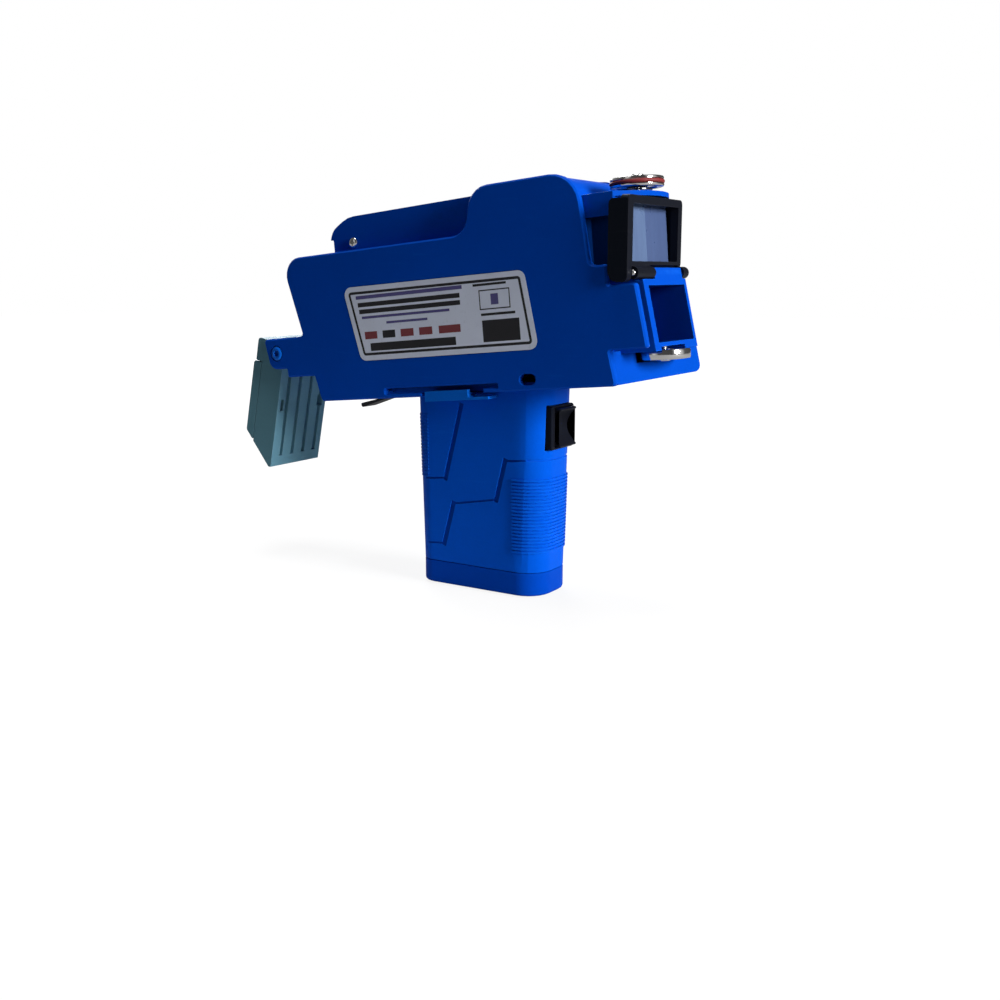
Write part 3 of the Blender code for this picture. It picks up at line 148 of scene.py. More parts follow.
# Far lower corner of the toe, where y is above and w below these, and its rounding.
TOE_CORNER_Y = 23.3
TOE_CORNER_W = 2.5
TOE_ROUNDING = 3.0

# Finger ribs of the grip: low z, high z, count, where they start along x, and height.
FRONT_RIBS = (19.0, 51.4, 22, 18.6, 0.6)
REAR_RIBS = (47.6, 75.6, 19, -24.4, 0.3)
RIB_SHARE = 0.55
# Groove across the front of the grip: low z, high z, start along x, and depth.
GRIP_GROOVE = (58.5, 59.5, 25.2, 0.5)
# Distance of the side grooves' floors from the middle of the grip; these floors get painted shade.
GROOVE_FLOOR = 14.7


def on_body(u, y, w):
    """Point in the row frame, in metres, from body millimetres."""
    cosine, sine = math.cos(BODY_PITCH), math.sin(BODY_PITCH)
    return BODY_NOSE + Vector((u * cosine - w * sine, y, u * sine + w * cosine)) * MM


def body_place(point):
    """Body millimetres (u, y, w) of a point in the row frame."""
    cosine, sine = math.cos(BODY_PITCH), math.sin(BODY_PITCH)
    away = (point - BODY_NOSE) / MM
    return Vector((away.x * cosine + away.z * sine, away.y, away.z * cosine - away.x * sine))


BODY_FORWARD = (on_body(1.0, 0.0, 0.0) - on_body(0.0, 0.0, 0.0)).normalized()
BODY_UP = (on_body(0.0, 0.0, 1.0) - on_body(0.0, 0.0, 0.0)).normalized()


# Materials.

BLUE_SHEEN = (0.06, 0.45, 1.0)


def start_finish(name, colour, roughness, metallic=0.0, specular=0.5, tint=(1.0, 1.0, 1.0)):
    """Material with a plain shader, ready for its detail."""
    made = bpy.data.materials.new(name)
    made.use_nodes = True
    shader = made.node_tree.nodes["Principled BSDF"]
    shader.inputs["Base Color"].default_value = (*colour, 1.0)
    shader.inputs["Roughness"].default_value = roughness
    shader.inputs["Metallic"].default_value = metallic
    shader.inputs["Specular IOR Level"].default_value = specular
    shader.inputs["Specular Tint"].default_value = (*tint, 1.0)
    return made


def shader_of(material):
    return material.node_tree.nodes["Principled BSDF"]


def add_node(material, kind, **values):
    node = material.node_tree.nodes.new(kind)
    for name, value in values.items():
        setattr(node, name, value)
    return node


def join(material, output, target):
    material.node_tree.links.new(output, target)


def place_output(material):
    """The piece's own place coordinates."""
    for node in material.node_tree.nodes:
        if node.bl_idname == "ShaderNodeTexCoord":
            return node.outputs["Object"]
    return add_node(material, "ShaderNodeTexCoord").outputs["Object"]


def noise(material, scale, detail=3.0, roughness=0.55, stretch=None):
    """Cloudy pattern over the piece, stretched along its axes if asked."""
    node = add_node(material, "ShaderNodeTexNoise")
    node.inputs["Scale"].default_value = scale
    node.inputs["Detail"].default_value = detail
    node.inputs["Roughness"].default_value = roughness
    source = place_output(material)
    if stretch:
        mapping = add_node(material, "ShaderNodeMapping")
        mapping.inputs["Scale"].default_value = stretch
        join(material, source, mapping.inputs["Vector"])
        source = mapping.outputs["Vector"]
    join(material, source, node.inputs["Vector"])
    return node.outputs["Fac"]


def spread(material, output, low, high, from_low=0.3, from_high=0.7):
    """Output mapped from one span to another."""
    node = add_node(material, "ShaderNodeMapRange")
    node.inputs["From Min"].default_value = from_low
    node.inputs["From Max"].default_value = from_high
    node.inputs["To Min"].default_value = low
    node.inputs["To Max"].default_value = high
    join(material, output, node.inputs["Value"])
    return node.outputs["Result"]


def multiply(material, first, second):
    node = add_node(material, "ShaderNodeMath", operation="MULTIPLY")
    join(material, first, node.inputs[0])
    join(material, second, node.inputs[1])
    return node.outputs[0]


def vary_roughness(material, scale, low, high, stretch=None):
    cloud = noise(material, scale, 4.0, stretch=stretch)
    join(material, spread(material, cloud, low, high), shader_of(material).inputs["Roughness"])


def blend_colour(material, amount, colour):
    """Lays a colour over what the shader's base colour has so far, by an amount output."""
    mix = add_node(material, "ShaderNodeMix", data_type="RGBA")
    base = shader_of(material).inputs["Base Color"]
    if base.links:
        join(material, base.links[0].from_socket, mix.inputs["A"])
    else:
        mix.inputs["A"].default_value = base.default_value
    mix.inputs["B"].default_value = (*colour, 1.0)
    join(material, amount, mix.inputs["Factor"])
    join(material, mix.outputs["Result"], base)


def add_bump(material, height, strength, distance):
    """Bump on top of any bump the shader has."""
    bump = add_node(material, "ShaderNodeBump")
    bump.inputs["Strength"].default_value = strength
    bump.inputs["Distance"].default_value = distance
    normal = shader_of(material).inputs["Normal"]
    if normal.links:
        join(material, normal.links[0].from_socket, bump.inputs["Normal"])
    join(material, height, bump.inputs["Height"])
    join(material, bump.outputs["Normal"], normal)


def wear_edges(material, colour, amount, reach=0.0009):
    """Paler, rubbed edges, found where a rounded normal leaves the true one."""
    eased = add_node(material, "ShaderNodeBevel", samples=4)
    eased.inputs["Radius"].default_value = reach
    true = add_node(material, "ShaderNodeNewGeometry")
    match = add_node(material, "ShaderNodeVectorMath", operation="DOT_PRODUCT")
    join(material, eased.outputs["Normal"], match.inputs[0])
    join(material, true.outputs["Normal"], match.inputs[1])
    edge = spread(material, match.outputs["Value"], amount, 0.0, 0.86, 0.99)
    scuff = spread(material, noise(material, 240.0, 4.0), 0.15, 1.0, 0.36, 0.64)
    blend_colour(material, multiply(material, edge, scuff), colour)


def moulded_plastic(name, colour, worn, roughness, specular, grain=0.10, tint=BLUE_SHEEN):
    """Moulded plastic: spark-eroded grain, slow colour drift, handling scuffs and rubbed edges."""
    made = start_finish(name, colour, roughness, specular=specular, tint=tint)
    darker = tuple(part * 0.80 for part in colour)
    blend_colour(made, spread(made, noise(made, 22.0, 2.0), 0.0, 0.45), darker)
    blend_colour(made, spread(made, noise(made, 1100.0, 2.0), 0.0, 0.30), darker)
    scratches = spread(made, noise(made, 95.0, 5.0, stretch=(0.5, 1.0, 6.0)), 0.0, 0.10, 0.62, 0.72)
    blend_colour(made, scratches, worn)
    vary_roughness(made, 75.0, roughness - 0.07, roughness + 0.08)
    add_bump(made, noise(made, 2400.0, 2.0), grain, 0.00012)
    add_bump(made, noise(made, 60.0, 2.0), 0.03, 0.0005)
    wear_edges(made, worn, 0.30)
    return made


def plated_steel(name, colour, roughness):
    """Plated steel with fine brushing and a few smears."""
    made = start_finish(name, colour, roughness, 1.0)
    vary_roughness(made, 120.0, roughness * 0.6, roughness * 1.7)
    add_bump(made, noise(made, 900.0, 2.0, stretch=(1.0, 1.0, 6.0)), 0.04, 0.0001)
    smear = spread(made, noise(made, 90.0, 3.0), 0.0, 0.35)
    blend_colour(made, smear, tuple(part * 0.72 for part in colour))
    return made


def turned_steel(name, colour, centre, roughness):
    """Bright steel with lathe rings about a wheel's leaning axle."""
    made = plated_steel(name, colour, roughness)
    upright = Matrix.Rotation(WHEEL_LEAN, 4, "Y")
    mapping = add_node(made, "ShaderNodeMapping")
    mapping.inputs["Location"].default_value = upright @ -on_body(centre[0], 0.0, centre[1])
    mapping.inputs["Rotation"].default_value = (0.0, WHEEL_LEAN, 0.0)
    join(made, place_output(made), mapping.inputs["Vector"])
    rings = add_node(made, "ShaderNodeTexWave", wave_type="RINGS", rings_direction="Z")
    rings.inputs["Scale"].default_value = 1100.0
    rings.inputs["Distortion"].default_value = 1.5
    rings.inputs["Detail"].default_value = 2.0
    join(made, mapping.outputs["Vector"], rings.inputs["Vector"])
    add_bump(made, rings.outputs["Fac"], 0.05, 0.00005)
    return made


def moulded_rubber(name, colour, roughness):
    """Soft rubber with a dusty bloom."""
    made = start_finish(name, colour, roughness, specular=0.3)
    bloom = spread(made, noise(made, 140.0, 4.0), 0.0, 0.3)
    blend_colour(made, bloom, tuple(min(part * 1.6 + 0.01, 1.0) for part in colour))
    vary_roughness(made, 200.0, roughness - 0.1, roughness + 0.1)
    add_bump(made, noise(made, 1500.0, 2.0), 0.12, 0.0001)
    return made


def printed_film(name, colour, roughness=0.42):
    """Label film or the ink on it: faint blotches, dust and a slight orange peel."""
    made = start_finish(name, colour, roughness, specular=0.25)
    blend_colour(made, spread(made, noise(made, 55.0, 4.0), 0.0, 0.30), tuple(part * 0.80 for part in colour))
    dust = spread(made, noise(made, 700.0, 3.0), 0.0, 0.25, 0.60, 0.75)
    blend_colour(made, dust, tuple(part * 0.62 for part in colour))
    vary_roughness(made, 90.0, roughness - 0.08, roughness + 0.10)
    add_bump(made, noise(made, 420.0, 2.0), 0.05, 0.00008)
    return made


def face_film(name, bright, dull, split):
    """Pale face plate in two tones, parted across the width, with faint streaks down it."""
    made = start_finish(name, bright, 0.34, specular=0.3)
    parts = add_node(made, "ShaderNodeSeparateXYZ")
    join(made, place_output(made), parts.inputs["Vector"])
    blend_colour(made, spread(made, parts.outputs["Y"], 0.0, 1.0, split, split + 0.3 * MM), dull)
    streak = spread(made, noise(made, 260.0, 3.0, stretch=(1.0, 1.0, 0.12)), 0.0, 0.35)
    blend_colour(made, streak, tuple(part * 0.72 for part in dull))
    vary_roughness(made, 150.0, 0.26, 0.42)
    add_bump(made, noise(made, 500.0, 2.0), 0.05, 0.00008)
    return made


def screen_glass(name, colour):
    """Dark clear panel with finger smears."""
    made = start_finish(name, colour, 0.08, specular=0.5)
    vary_roughness(made, 70.0, 0.05, 0.22)
    blend_colour(made, spread(made, noise(made, 40.0, 4.0), 0.0, 0.4), tuple(part * 1.8 for part in colour))
    add_bump(made, noise(made, 18.0, 1.0), 0.02, 0.0004)
    return made


def lacquered_board(name, colour):
    """Circuit board: green lacquer over a web of tracks."""
    made = start_finish(name, colour, 0.4, specular=0.4)
    tracks = add_node(made, "ShaderNodeTexBrick")
    tracks.inputs["Scale"].default_value = 140.0
    tracks.inputs["Mortar Size"].default_value = 0.06
    join(made, place_output(made), tracks.inputs["Vector"])
    brighter = tuple(part * 2.2 for part in colour)
    blend_colour(made, spread(made, tracks.outputs["Fac"], 0.0, 0.6, 0.0, 1.0), brighter)
    vary_roughness(made, 160.0, 0.3, 0.5)
    add_bump(made, tracks.outputs["Fac"], 0.15, 0.0001)
    return made


def shrink_wrap(name, colour):
    """Wrapped cell: thin film with long soft creases."""
    made = start_finish(name, colour, 0.36, specular=0.4)
    blend_colour(made, spread(made, noise(made, 60.0, 3.0), 0.0, 0.4), tuple(part * 0.7 for part in colour))
    vary_roughness(made, 110.0, 0.28, 0.46)
    add_bump(made, noise(made, 130.0, 2.0, stretch=(1.0, 1.0, 0.15)), 0.2, 0.0002)
    return made


blue_plastic = moulded_plastic("moulded_blue", (0.0008, 0.066, 0.50), (0.01, 0.14, 0.68), 0.42, 0.035)
# Painted shade: darker blues standing for the shade in the front frame's lower bay, finger recess and wheel
# slot.
bay_shade_blue = moulded_plastic("blue_painted_shade", (0.0005, 0.028, 0.26), (0.004, 0.06, 0.36), 0.50, 0.02)
deep_shade_blue = moulded_plastic("blue_painted_deep_shade", (0.0008, 0.014, 0.085), (0.003, 0.03, 0.15), 0.52, 0.02)
# Grip blue: slightly greener than the body's as its own tone, and paler as painted light for light bounced
# onto the grip.
grip_tone_and_light_blue = moulded_plastic("blue_grip_tone_and_painted_light", (0.0008, 0.088, 0.62), (0.01, 0.17, 0.78), 0.40, 0.035)
# Painted shade: a darker blue for the shadowed floors of the grip's side grooves.
groove_shade_blue = moulded_plastic("blue_groove_painted_shade", (0.0006, 0.045, 0.36), (0.006, 0.09, 0.50), 0.44, 0.03)
# Painted shade: a darker blue for the grip's foot, standing for the shade near the floor.
foot_shade_blue = moulded_plastic("blue_foot_painted_shade", (0.0006, 0.056, 0.46), (0.01, 0.13, 0.64), 0.42, 0.03)
lock_blue = moulded_plastic("moulded_lock_blue", (0.003, 0.13, 0.66), (0.01, 0.20, 0.80), 0.40, 0.06)
black_plastic = moulded_plastic("moulded_black", (0.0080, 0.0087, 0.0130), (0.03, 0.03, 0.036), 0.40, 0.07,
                                grain=0.14)
grey_plastic = moulded_plastic("moulded_grey_green", (0.122, 0.275, 0.345), (0.30, 0.48, 0.56), 0.48, 0.10)
steel = plated_steel("plated_steel", (0.78, 0.77, 0.76), 0.12)
painted_steel = moulded_plastic("screw_paint", (0.003, 0.13, 0.70), (0.10, 0.12, 0.16), 0.34, 0.3)
red_rubber = moulded_rubber("ring_rubber", (0.17, 0.015, 0.016), 0.55)
black_rubber = moulded_rubber("flap_rubber", (0.010, 0.010, 0.011), 0.62)
label_film = printed_film("label_film", (0.72, 0.78, 0.94))
label_ink = printed_film("label_ink", (0.018, 0.018, 0.022), 0.5)
label_tint = printed_film("label_tint", (0.10, 0.09, 0.26), 0.5)
label_red = printed_film("label_red", (0.22, 0.05, 0.06), 0.5)

finishes = {
    "blue_plastic": blue_plastic,
    "black_plastic": black_plastic,
    "grey_green_plastic": grey_plastic,
    "polished_steel": steel,
    "red_rubber": red_rubber,
    "black_rubber": black_rubber,
    "label_film": label_film,
    "pale_plate": face_film("face_film", (0.108, 0.165, 0.30), (0.065, 0.10, 0.215), 0.0),
    "dark_glass": screen_glass("screen_glass", (0.006, 0.007, 0.009)),
    "circuit_board": lacquered_board("board_lacquer", (0.01, 0.14, 0.05)),
    "cell_wrap": shrink_wrap("cell_wrap", (0.05, 0.22, 0.12)),
    "brass": plated_steel("contact_strip", (0.72, 0.52, 0.18), 0.25),
}
slot_of = {row["node"]: row["material_slot"] for row in frame["record"]["subparts"]}
body_of = {node: body for body, held in frame["record"]["behaviour"]["bodies"].items() for node in held}


# Modelling by hand.

# Edges that turn by more than this are rounded, and are sharp in the shading.
SHARP_ANGLE = math.radians(40.0)


def only(piece):
    """Makes one piece the only selected one."""
    bpy.ops.object.select_all(action="DESELECT")
    piece.select_set(True)
    bpy.context.view_layer.objects.active = piece


def open_mesh(piece, mode="FACE"):
    """Edit mode on one piece, with all of it selected."""
    only(piece)
    bpy.ops.object.mode_set(mode="EDIT")
    bpy.ops.mesh.select_mode(type=mode)
    bpy.ops.mesh.select_all(action="SELECT")


def close_mesh():
    bpy.ops.object.mode_set(mode="OBJECT")


def pick_faces(piece, wanted):
    """In edit mode, selects the faces whose centre and normal pass a test."""
    bpy.ops.mesh.select_mode(type="FACE")
    bpy.ops.mesh.select_all(action="DESELECT")
    bpy.ops.object.mode_set(mode="OBJECT")
    for face in piece.data.polygons:
        face.select = wanted(face.center, face.normal)
    bpy.ops.object.mode_set(mode="EDIT")


def pick_edges(piece, wanted):
    """In edit mode, selects the edges whose two ends pass a test."""
    bpy.ops.mesh.select_mode(type="EDGE")
    bpy.ops.mesh.select_all(action="DESELECT")
    bpy.ops.object.mode_set(mode="OBJECT")
    points = piece.data.vertices
    for edge in piece.data.edges:
        edge.select = all(wanted(points[end].co) for end in edge.vertices)
    bpy.ops.object.mode_set(mode="EDIT")


def paint(piece, index):
    """In edit mode, gives the selected faces one of the piece's materials."""
    piece.active_material_index = index
    bpy.ops.object.material_slot_assign()


def apply_modifiers(piece):
    only(piece)
    for modifier in list(piece.modifiers):
        bpy.ops.object.modifier_apply(modifier=modifier.name)


def soften(piece, width, steps=2):
    """Rounds the sharp edges and keeps the flat faces flat in the shading."""
    bevel = piece.modifiers.new("Edges", "BEVEL")
    bevel.width = width * MM
    bevel.segments = steps
    bevel.limit_method = "ANGLE"
    bevel.angle_limit = SHARP_ANGLE
    bevel.use_clamp_overlap = True
    apply_modifiers(piece)
    only(piece)
    bpy.ops.object.shade_smooth_by_angle(angle=SHARP_ANGLE)
    flat = piece.modifiers.new("Flat faces", "WEIGHTED_NORMAL")
    flat.mode = "FACE_AREA"
    flat.keep_sharp = True
    apply_modifiers(piece)


def copy_node(node, name, merge_flat=True):
    """Welded copy of a CAD node's shape, as a new piece to work on, with its flat faces made whole."""
    piece = bpy.data.objects.new(name, nodes[node].data.copy())
    bpy.context.scene.collection.objects.link(piece)
    open_mesh(piece)
    bpy.ops.mesh.customdata_custom_splitnormals_clear()
    bpy.ops.mesh.remove_doubles(threshold=0.000002)
    if merge_flat:
        bpy.ops.mesh.dissolve_limited(angle_limit=math.radians(0.5))
    close_mesh()
    return piece


def dress(piece, node, *materials):
    """Piece takes a CAD node's place, body and finish."""
    slot = slot_of[node]
    piece.data.materials.clear()
    for material in materials or (finishes[slot],):
        piece.data.materials.append(material)
    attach(piece, body_of[node])
    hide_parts(node)


def rounded_copy(node, name, width, steps=2, merge_flat=True, material=None):
    piece = copy_node(node, name, merge_flat)
    soften(piece, width, steps)
    dress(piece, node, *([material] if material else []))


def cut_across(piece, wanted, place, along):
    """In edit mode, cuts the wanted faces with one plane."""
    pick_faces(piece, wanted)
    bpy.ops.mesh.bisect(plane_co=place, plane_no=along)


def settle(piece, place, turn, axis):
    """Turns a piece made about the origin, moves it to its place, and keeps both in its mesh."""
    only(piece)
    piece.rotation_euler = Matrix.Rotation(turn, 3, axis).to_euler()
    piece.location = place
    bpy.ops.object.transform_apply(location=True, rotation=True, scale=True)


def turned(name, profile, closed=True, sides=96):
    """Piece turned about Z: circles of (radius, height), each drawn out of the one before."""
    radius, height = profile[0]
    bpy.ops.object.select_all(action="DESELECT")
    bpy.ops.mesh.primitive_circle_add(vertices=sides, radius=radius * MM, fill_type="NOTHING")
    piece = bpy.context.object
    piece.name = name
    open_mesh(piece, "EDGE")
    bpy.ops.transform.translate(value=(0.0, 0.0, height * MM))
    for next_radius, next_height in profile[1:] + (profile[:1] if closed else []):
        rise = (0.0, 0.0, (next_height - height) * MM)
        bpy.ops.mesh.extrude_edges_move(TRANSFORM_OT_translate={"value": rise})
        grow = next_radius / radius
        bpy.ops.transform.resize(value=(grow, grow, 1.0), center_override=(0.0, 0.0, 0.0))
        radius, height = next_radius, next_height
    bpy.ops.mesh.select_all(action="SELECT")
    if closed:
        bpy.ops.mesh.remove_doubles(threshold=0.000001)
    else:
        bpy.ops.mesh.fill_holes(sides=0)
        bpy.ops.mesh.select_all(action="SELECT")
    bpy.ops.mesh.normals_make_consistent(inside=False)
    close_mesh()
    return piece


def cut_cross(piece, top, length, width, depth):
    """Cross recess in the top of a screw head."""
    for across in ((length, width), (width, length)):
        bpy.ops.object.select_all(action="DESELECT")
        bpy.ops.mesh.primitive_cube_add(size=1.0, location=(0.0, 0.0, top * MM))
        cutter = bpy.context.object
        cutter.scale = (across[0] * MM, across[1] * MM, 2.0 * depth * MM)
        bpy.ops.object.transform_apply(location=True, rotation=True, scale=True)
        cut = piece.modifiers.new("Recess", "BOOLEAN")
        cut.object = cutter
        cut.operation = "DIFFERENCE"
        cut.solver = "EXACT"
        apply_modifiers(piece)
        bpy.data.objects.remove(cutter, do_unlink=True)


# Shells.

rounded_copy("right_side_cover", "right_cover_shell", 0.8, 3)
rounded_copy("left_side_cover", "left_cover_shell", 0.8, 3)
rounded_copy("main_housing", "housing_band", 0.5)
rounded_copy("top_cover", "rear_lid", 1.0, 3)
rounded_copy("cartridge_latch", "latch_frame", 0.9, 4)
# The grip's foot takes a darker blue as painted shade near the floor.
rounded_copy("grip_base_cap", "grip_foot", 0.6, 3, material=foot_shade_blue)
rounded_copy("trigger_button", "trigger_pad", 0.7, 3)
rounded_copy("trigger_bezel", "trigger_collar", 0.3, merge_flat=False)
rounded_copy("display_housing", "display_back", 0.35)
rounded_copy("display_bezel", "display_rim", 0.35)
rounded_copy("grip_lock", "lock_slider", 0.4, 3, material=lock_blue)
rounded_copy("port_flap", "port_cover", 0.25)
rounded_copy("charge_port", "charge_socket", 0.2)
rounded_copy("nozzle_plate", "print_face", 0.12)
rounded_copy("encoder_sensor", "ring_reader", 0.2)


def print_face_frame():
    """Front frame with the toe's far lower corner well rounded, and painted shade on its inner faces: darker
    blues in the lower bay, finger recess and wheel slot.
    """
    piece = copy_node("front_frame", "print_face_frame")
    open_mesh(piece)

    def far_lower(point):
        place = body_place(point)
        return place.y > TOE_CORNER_Y and place.z < TOE_CORNER_W

    pick_edges(piece, far_lower)
    bpy.ops.mesh.bevel(offset=TOE_ROUNDING * MM, segments=5, affect="EDGES")
    close_mesh()
    soften(piece, 0.5)
    dress(piece, "front_frame", blue_plastic, bay_shade_blue, deep_shade_blue)

    def inside(spaces):
        def wanted(centre, normal):
            place = body_place(centre)
            return any(all(low < here < high for low, here, high in zip(corner, place, far_corner))
                       for corner, far_corner in spaces)
        return wanted

    open_mesh(piece)
    # Painted shade: the bay, recess and slot faces take the darker blues.
    for index, spaces in enumerate((SHADE_SPACES, DEEP_SHADE_SPACES), 1):
        pick_faces(piece, inside(spaces))
        paint(piece, index)
    close_mesh()


def grip_tube():
    """Grip with finger ribs at its front and rear, a groove across the front, and painted shade on the floors
    of its side grooves.
    """
    piece = copy_node("grip_shell", "grip_tube")
    open_mesh(piece)

    def outer(centre, normal):
        outwards = Vector((centre.x, 3.0 * centre.y)).dot(Vector((normal.x, normal.y)))
        return abs(normal.z) < 0.4 and outwards > 0.0

    raise_ribs(piece, FRONT_RIBS, lambda c, n: outer(c, n) and c.x > FRONT_RIBS[3] * MM)
    raise_ribs(piece, REAR_RIBS, lambda c, n: outer(c, n) and c.x < REAR_RIBS[3] * MM)
    low, high, start, depth = GRIP_GROOVE

    def on_front(centre, normal):
        return outer(centre, normal) and centre.x > start * MM

    cut_across(piece, outer, (start * MM, 0.0, 0.0), (1.0, 0.0, 0.0))
    for level in (low, high):
        cut_across(piece, on_front, (0.0, 0.0, level * MM), (0.0, 0.0, 1.0))
    pick_faces(piece, lambda c, n: on_front(c, n) and low * MM < c.z < high * MM)
    bpy.ops.mesh.extrude_region_shrink_fatten(TRANSFORM_OT_shrink_fatten={"value": -depth * MM})
    close_mesh()
    soften(piece, 0.25)
    # The grip's paler blue is partly painted light.
    dress(piece, "grip_shell", grip_tone_and_light_blue, groove_shade_blue)
    open_mesh(piece)
    # Painted shade on the side grooves' floors.
    pick_faces(piece, lambda c, n: abs(n.y) > 0.9999 and abs(abs(c.y) / MM - GROOVE_FLOOR) < 0.03)
    paint(piece, 1)
    close_mesh()


def raise_ribs(piece, ribs, wanted):
    """In edit mode, raises level ribs on the wanted faces beyond a start along x."""
    low, high, count, start, height = ribs
    bpy.ops.mesh.select_all(action="SELECT")
    bpy.ops.mesh.bisect(plane_co=(start * MM, 0.0, 0.0), plane_no=(1.0, 0.0, 0.0))
    pitch = (high - low) / count
    for rib in range(count):
        for level in (low + rib * pitch, low + (rib + RIB_SHARE) * pitch):
            cut_across(piece, wanted, (0.0, 0.0, level * MM), (0.0, 0.0, 1.0))

    def on_rib(centre, normal):
        step = (centre.z / MM - low) / pitch
        return wanted(centre, normal) and 0.0 < step < count and step % 1.0 < RIB_SHARE

    pick_faces(piece, on_rib)
    bpy.ops.mesh.extrude_region_shrink_fatten(TRANSFORM_OT_shrink_fatten={"value": height * MM})


def side_label():
    """Label with a border line and plain bars in ink, cut into its face."""
    piece = copy_node("rating_label", "side_label")
    dress(piece, "rating_label", label_film, label_ink, label_tint, label_red)
    open_mesh(piece)
    pick_faces(piece, lambda c, n: n.y < -0.9)
    bpy.ops.mesh.inset(thickness=LABEL_MARGIN * MM, depth=0.0)
    paint(piece, INK)
    bpy.ops.mesh.inset(thickness=LABEL_LINE * MM, depth=0.0)
    paint(piece, FILM)
    edge = LABEL_MARGIN + LABEL_LINE

    def inside(centre, normal):
        place = body_place(centre)
        level = LABEL_W[0] + edge < place.z < LABEL_W[1] - edge
        return normal.y < -0.9 and level and LABEL_U[0] < place.x < LABEL_U[1]

    for low, high, rear, front, _ in LABEL_BARS:
        for level in (low, high):
            cut_across(piece, inside, on_body(0.0, 0.0, level), BODY_UP)
        for station in (rear, front):
            cut_across(piece, inside, on_body(station, 0.0, 0.0), BODY_FORWARD)

    def on_bar(low, high, rear, front):
        def wanted(centre, normal):
            place = body_place(centre)
            return normal.y < -0.9 and low < place.z < high and rear < place.x < front
        return wanted

    for low, high, rear, front, colour in LABEL_BARS:
        pick_faces(piece, on_bar(low, high, rear, front))
        paint(piece, colour)
    close_mesh()


def guide_wheel(name, node, centre, groove):
    """Turned wheel with a sunk web, eased rims and, on the top one, a groove for its ring."""
    half, rim = WHEEL_HALF, WHEEL_RADIUS
    side = [(WHEEL_BORE, half), (3.9, half), (4.2, half - 0.5), (8.0, half - 0.5), (8.4, half),
            (rim - 0.6, half), (rim - 0.2, half - 0.15), (rim, half - 0.55)]
    floor = rim - RING_GROOVE
    middle = [(rim, 1.0), (rim - 0.1, 0.9), (floor, 0.9), (floor, -0.9), (rim - 0.1, -0.9), (rim, -1.0)]
    under = [(radius, -height) for radius, height in reversed(side)]
    piece = turned(name, side + (middle if groove else []) + under)
    settle(piece, on_body(centre[0], 0.0, centre[1]), -WHEEL_LEAN, "Y")
    only(piece)
    bpy.ops.object.shade_smooth_by_angle(angle=math.radians(28.0))
    dress(piece, node, turned_steel(f"{name}_steel", (0.78, 0.77, 0.76), centre, 0.07))


def rubber_ring():
    """Red O-ring, pressed flat where it sits in the groove."""
    bpy.ops.object.select_all(action="DESELECT")
    bpy.ops.mesh.primitive_torus_add(major_radius=RING_CENTRE * MM, minor_radius=RING_SECTION * MM,
                                     major_segments=128, minor_segments=20)
    piece = bpy.context.object
    piece.name = "grip_ring"
    open_mesh(piece)
    inner = (RING_CENTRE - 0.8 * RING_SECTION) * MM
    pick_edges(piece, lambda point: point.xy.length < inner)
    bpy.ops.transform.resize(value=(1.006, 1.006, 1.0), center_override=(0.0, 0.0, 0.0))
    close_mesh()
    settle(piece, on_body(TOP_WHEEL[0], 0.0, TOP_WHEEL[1]), -WHEEL_LEAN, "Y")
    only(piece)
    bpy.ops.object.shade_smooth()
    dress(piece, "top_wheel_ring")


def axle_pin(name, node, centre, foot, shoulder, head):
    """Axle with an eased, slotted head that keeps its wheel on."""
    way = 1.0 if head > 0.0 else -1.0
    ease = 0.25 * way
    top = shoulder + head
    piece = turned(name, [(AXLE_RADIUS - 0.2, foot), (AXLE_RADIUS, foot + 0.2 * way), (AXLE_RADIUS, shoulder),
                          (AXLE_HEAD_RADIUS, shoulder), (AXLE_HEAD_RADIUS, top - ease),
                          (AXLE_HEAD_RADIUS - 0.25, top)], closed=False, sides=48)
    cut_cross(piece, top, 2.6, 0.7, 0.3)
    settle(piece, on_body(centre[0], 0.0, centre[1]), -WHEEL_LEAN, "Y")
    only(piece)
    bpy.ops.object.shade_smooth_by_angle(angle=math.radians(30.0))
    dress(piece, node)


def cross_screw(name, node, place, seat, length, shank, material):
    """Round-headed cross screw along Y; the sign of the seat says which side it faces."""
    way = 1.0 if seat > 0.0 else -1.0
    piece = turned(name, [(shank - 0.2, -length), (shank, -length + 0.3), (shank, 0.0), (SCREW_HEAD, 0.0),
                          (SCREW_HEAD, 0.65), (SCREW_HEAD - 0.2, 0.95), (SCREW_HEAD - 0.7, 1.2),
                          (SCREW_HEAD - 1.4, SCREW_DEPTH)], closed=False, sides=48)
    cut_cross(piece, SCREW_DEPTH, 2.5, 0.6, 0.75)
    settle(piece, on_body(place[0], seat, place[1]), -way * math.pi / 2.0, "X")
    only(piece)
    bpy.ops.object.shade_smooth_by_angle(angle=math.radians(32.0))
    dress(piece, node, material)


def socket_screw(name, node, place, seat, length, shank):
    """Domed pivot screw along Y with a round socket; the sign of the seat says which side it faces."""
    way = 1.0 if seat > 0.0 else -1.0
    head, depth = PIVOT_HEAD, PIVOT_DEPTH
    piece = turned(name, [(shank - 0.2, -length), (shank, -length + 0.3), (shank, 0.0), (head, 0.0),
                          (head, depth - 1.0), (head - 0.25, depth - 0.5), (head - 0.8, depth - 0.12),
                          (head - 1.4, depth), (head - 1.8, depth - 0.15), (1.25, depth - 0.6),
                          (1.15, depth - 1.6)], closed=False, sides=48)
    settle(piece, on_body(place[0], seat, place[1]), -way * math.pi / 2.0, "X")
    only(piece)
    bpy.ops.object.shade_smooth_by_angle(angle=math.radians(40.0))
    dress(piece, node, painted_steel)


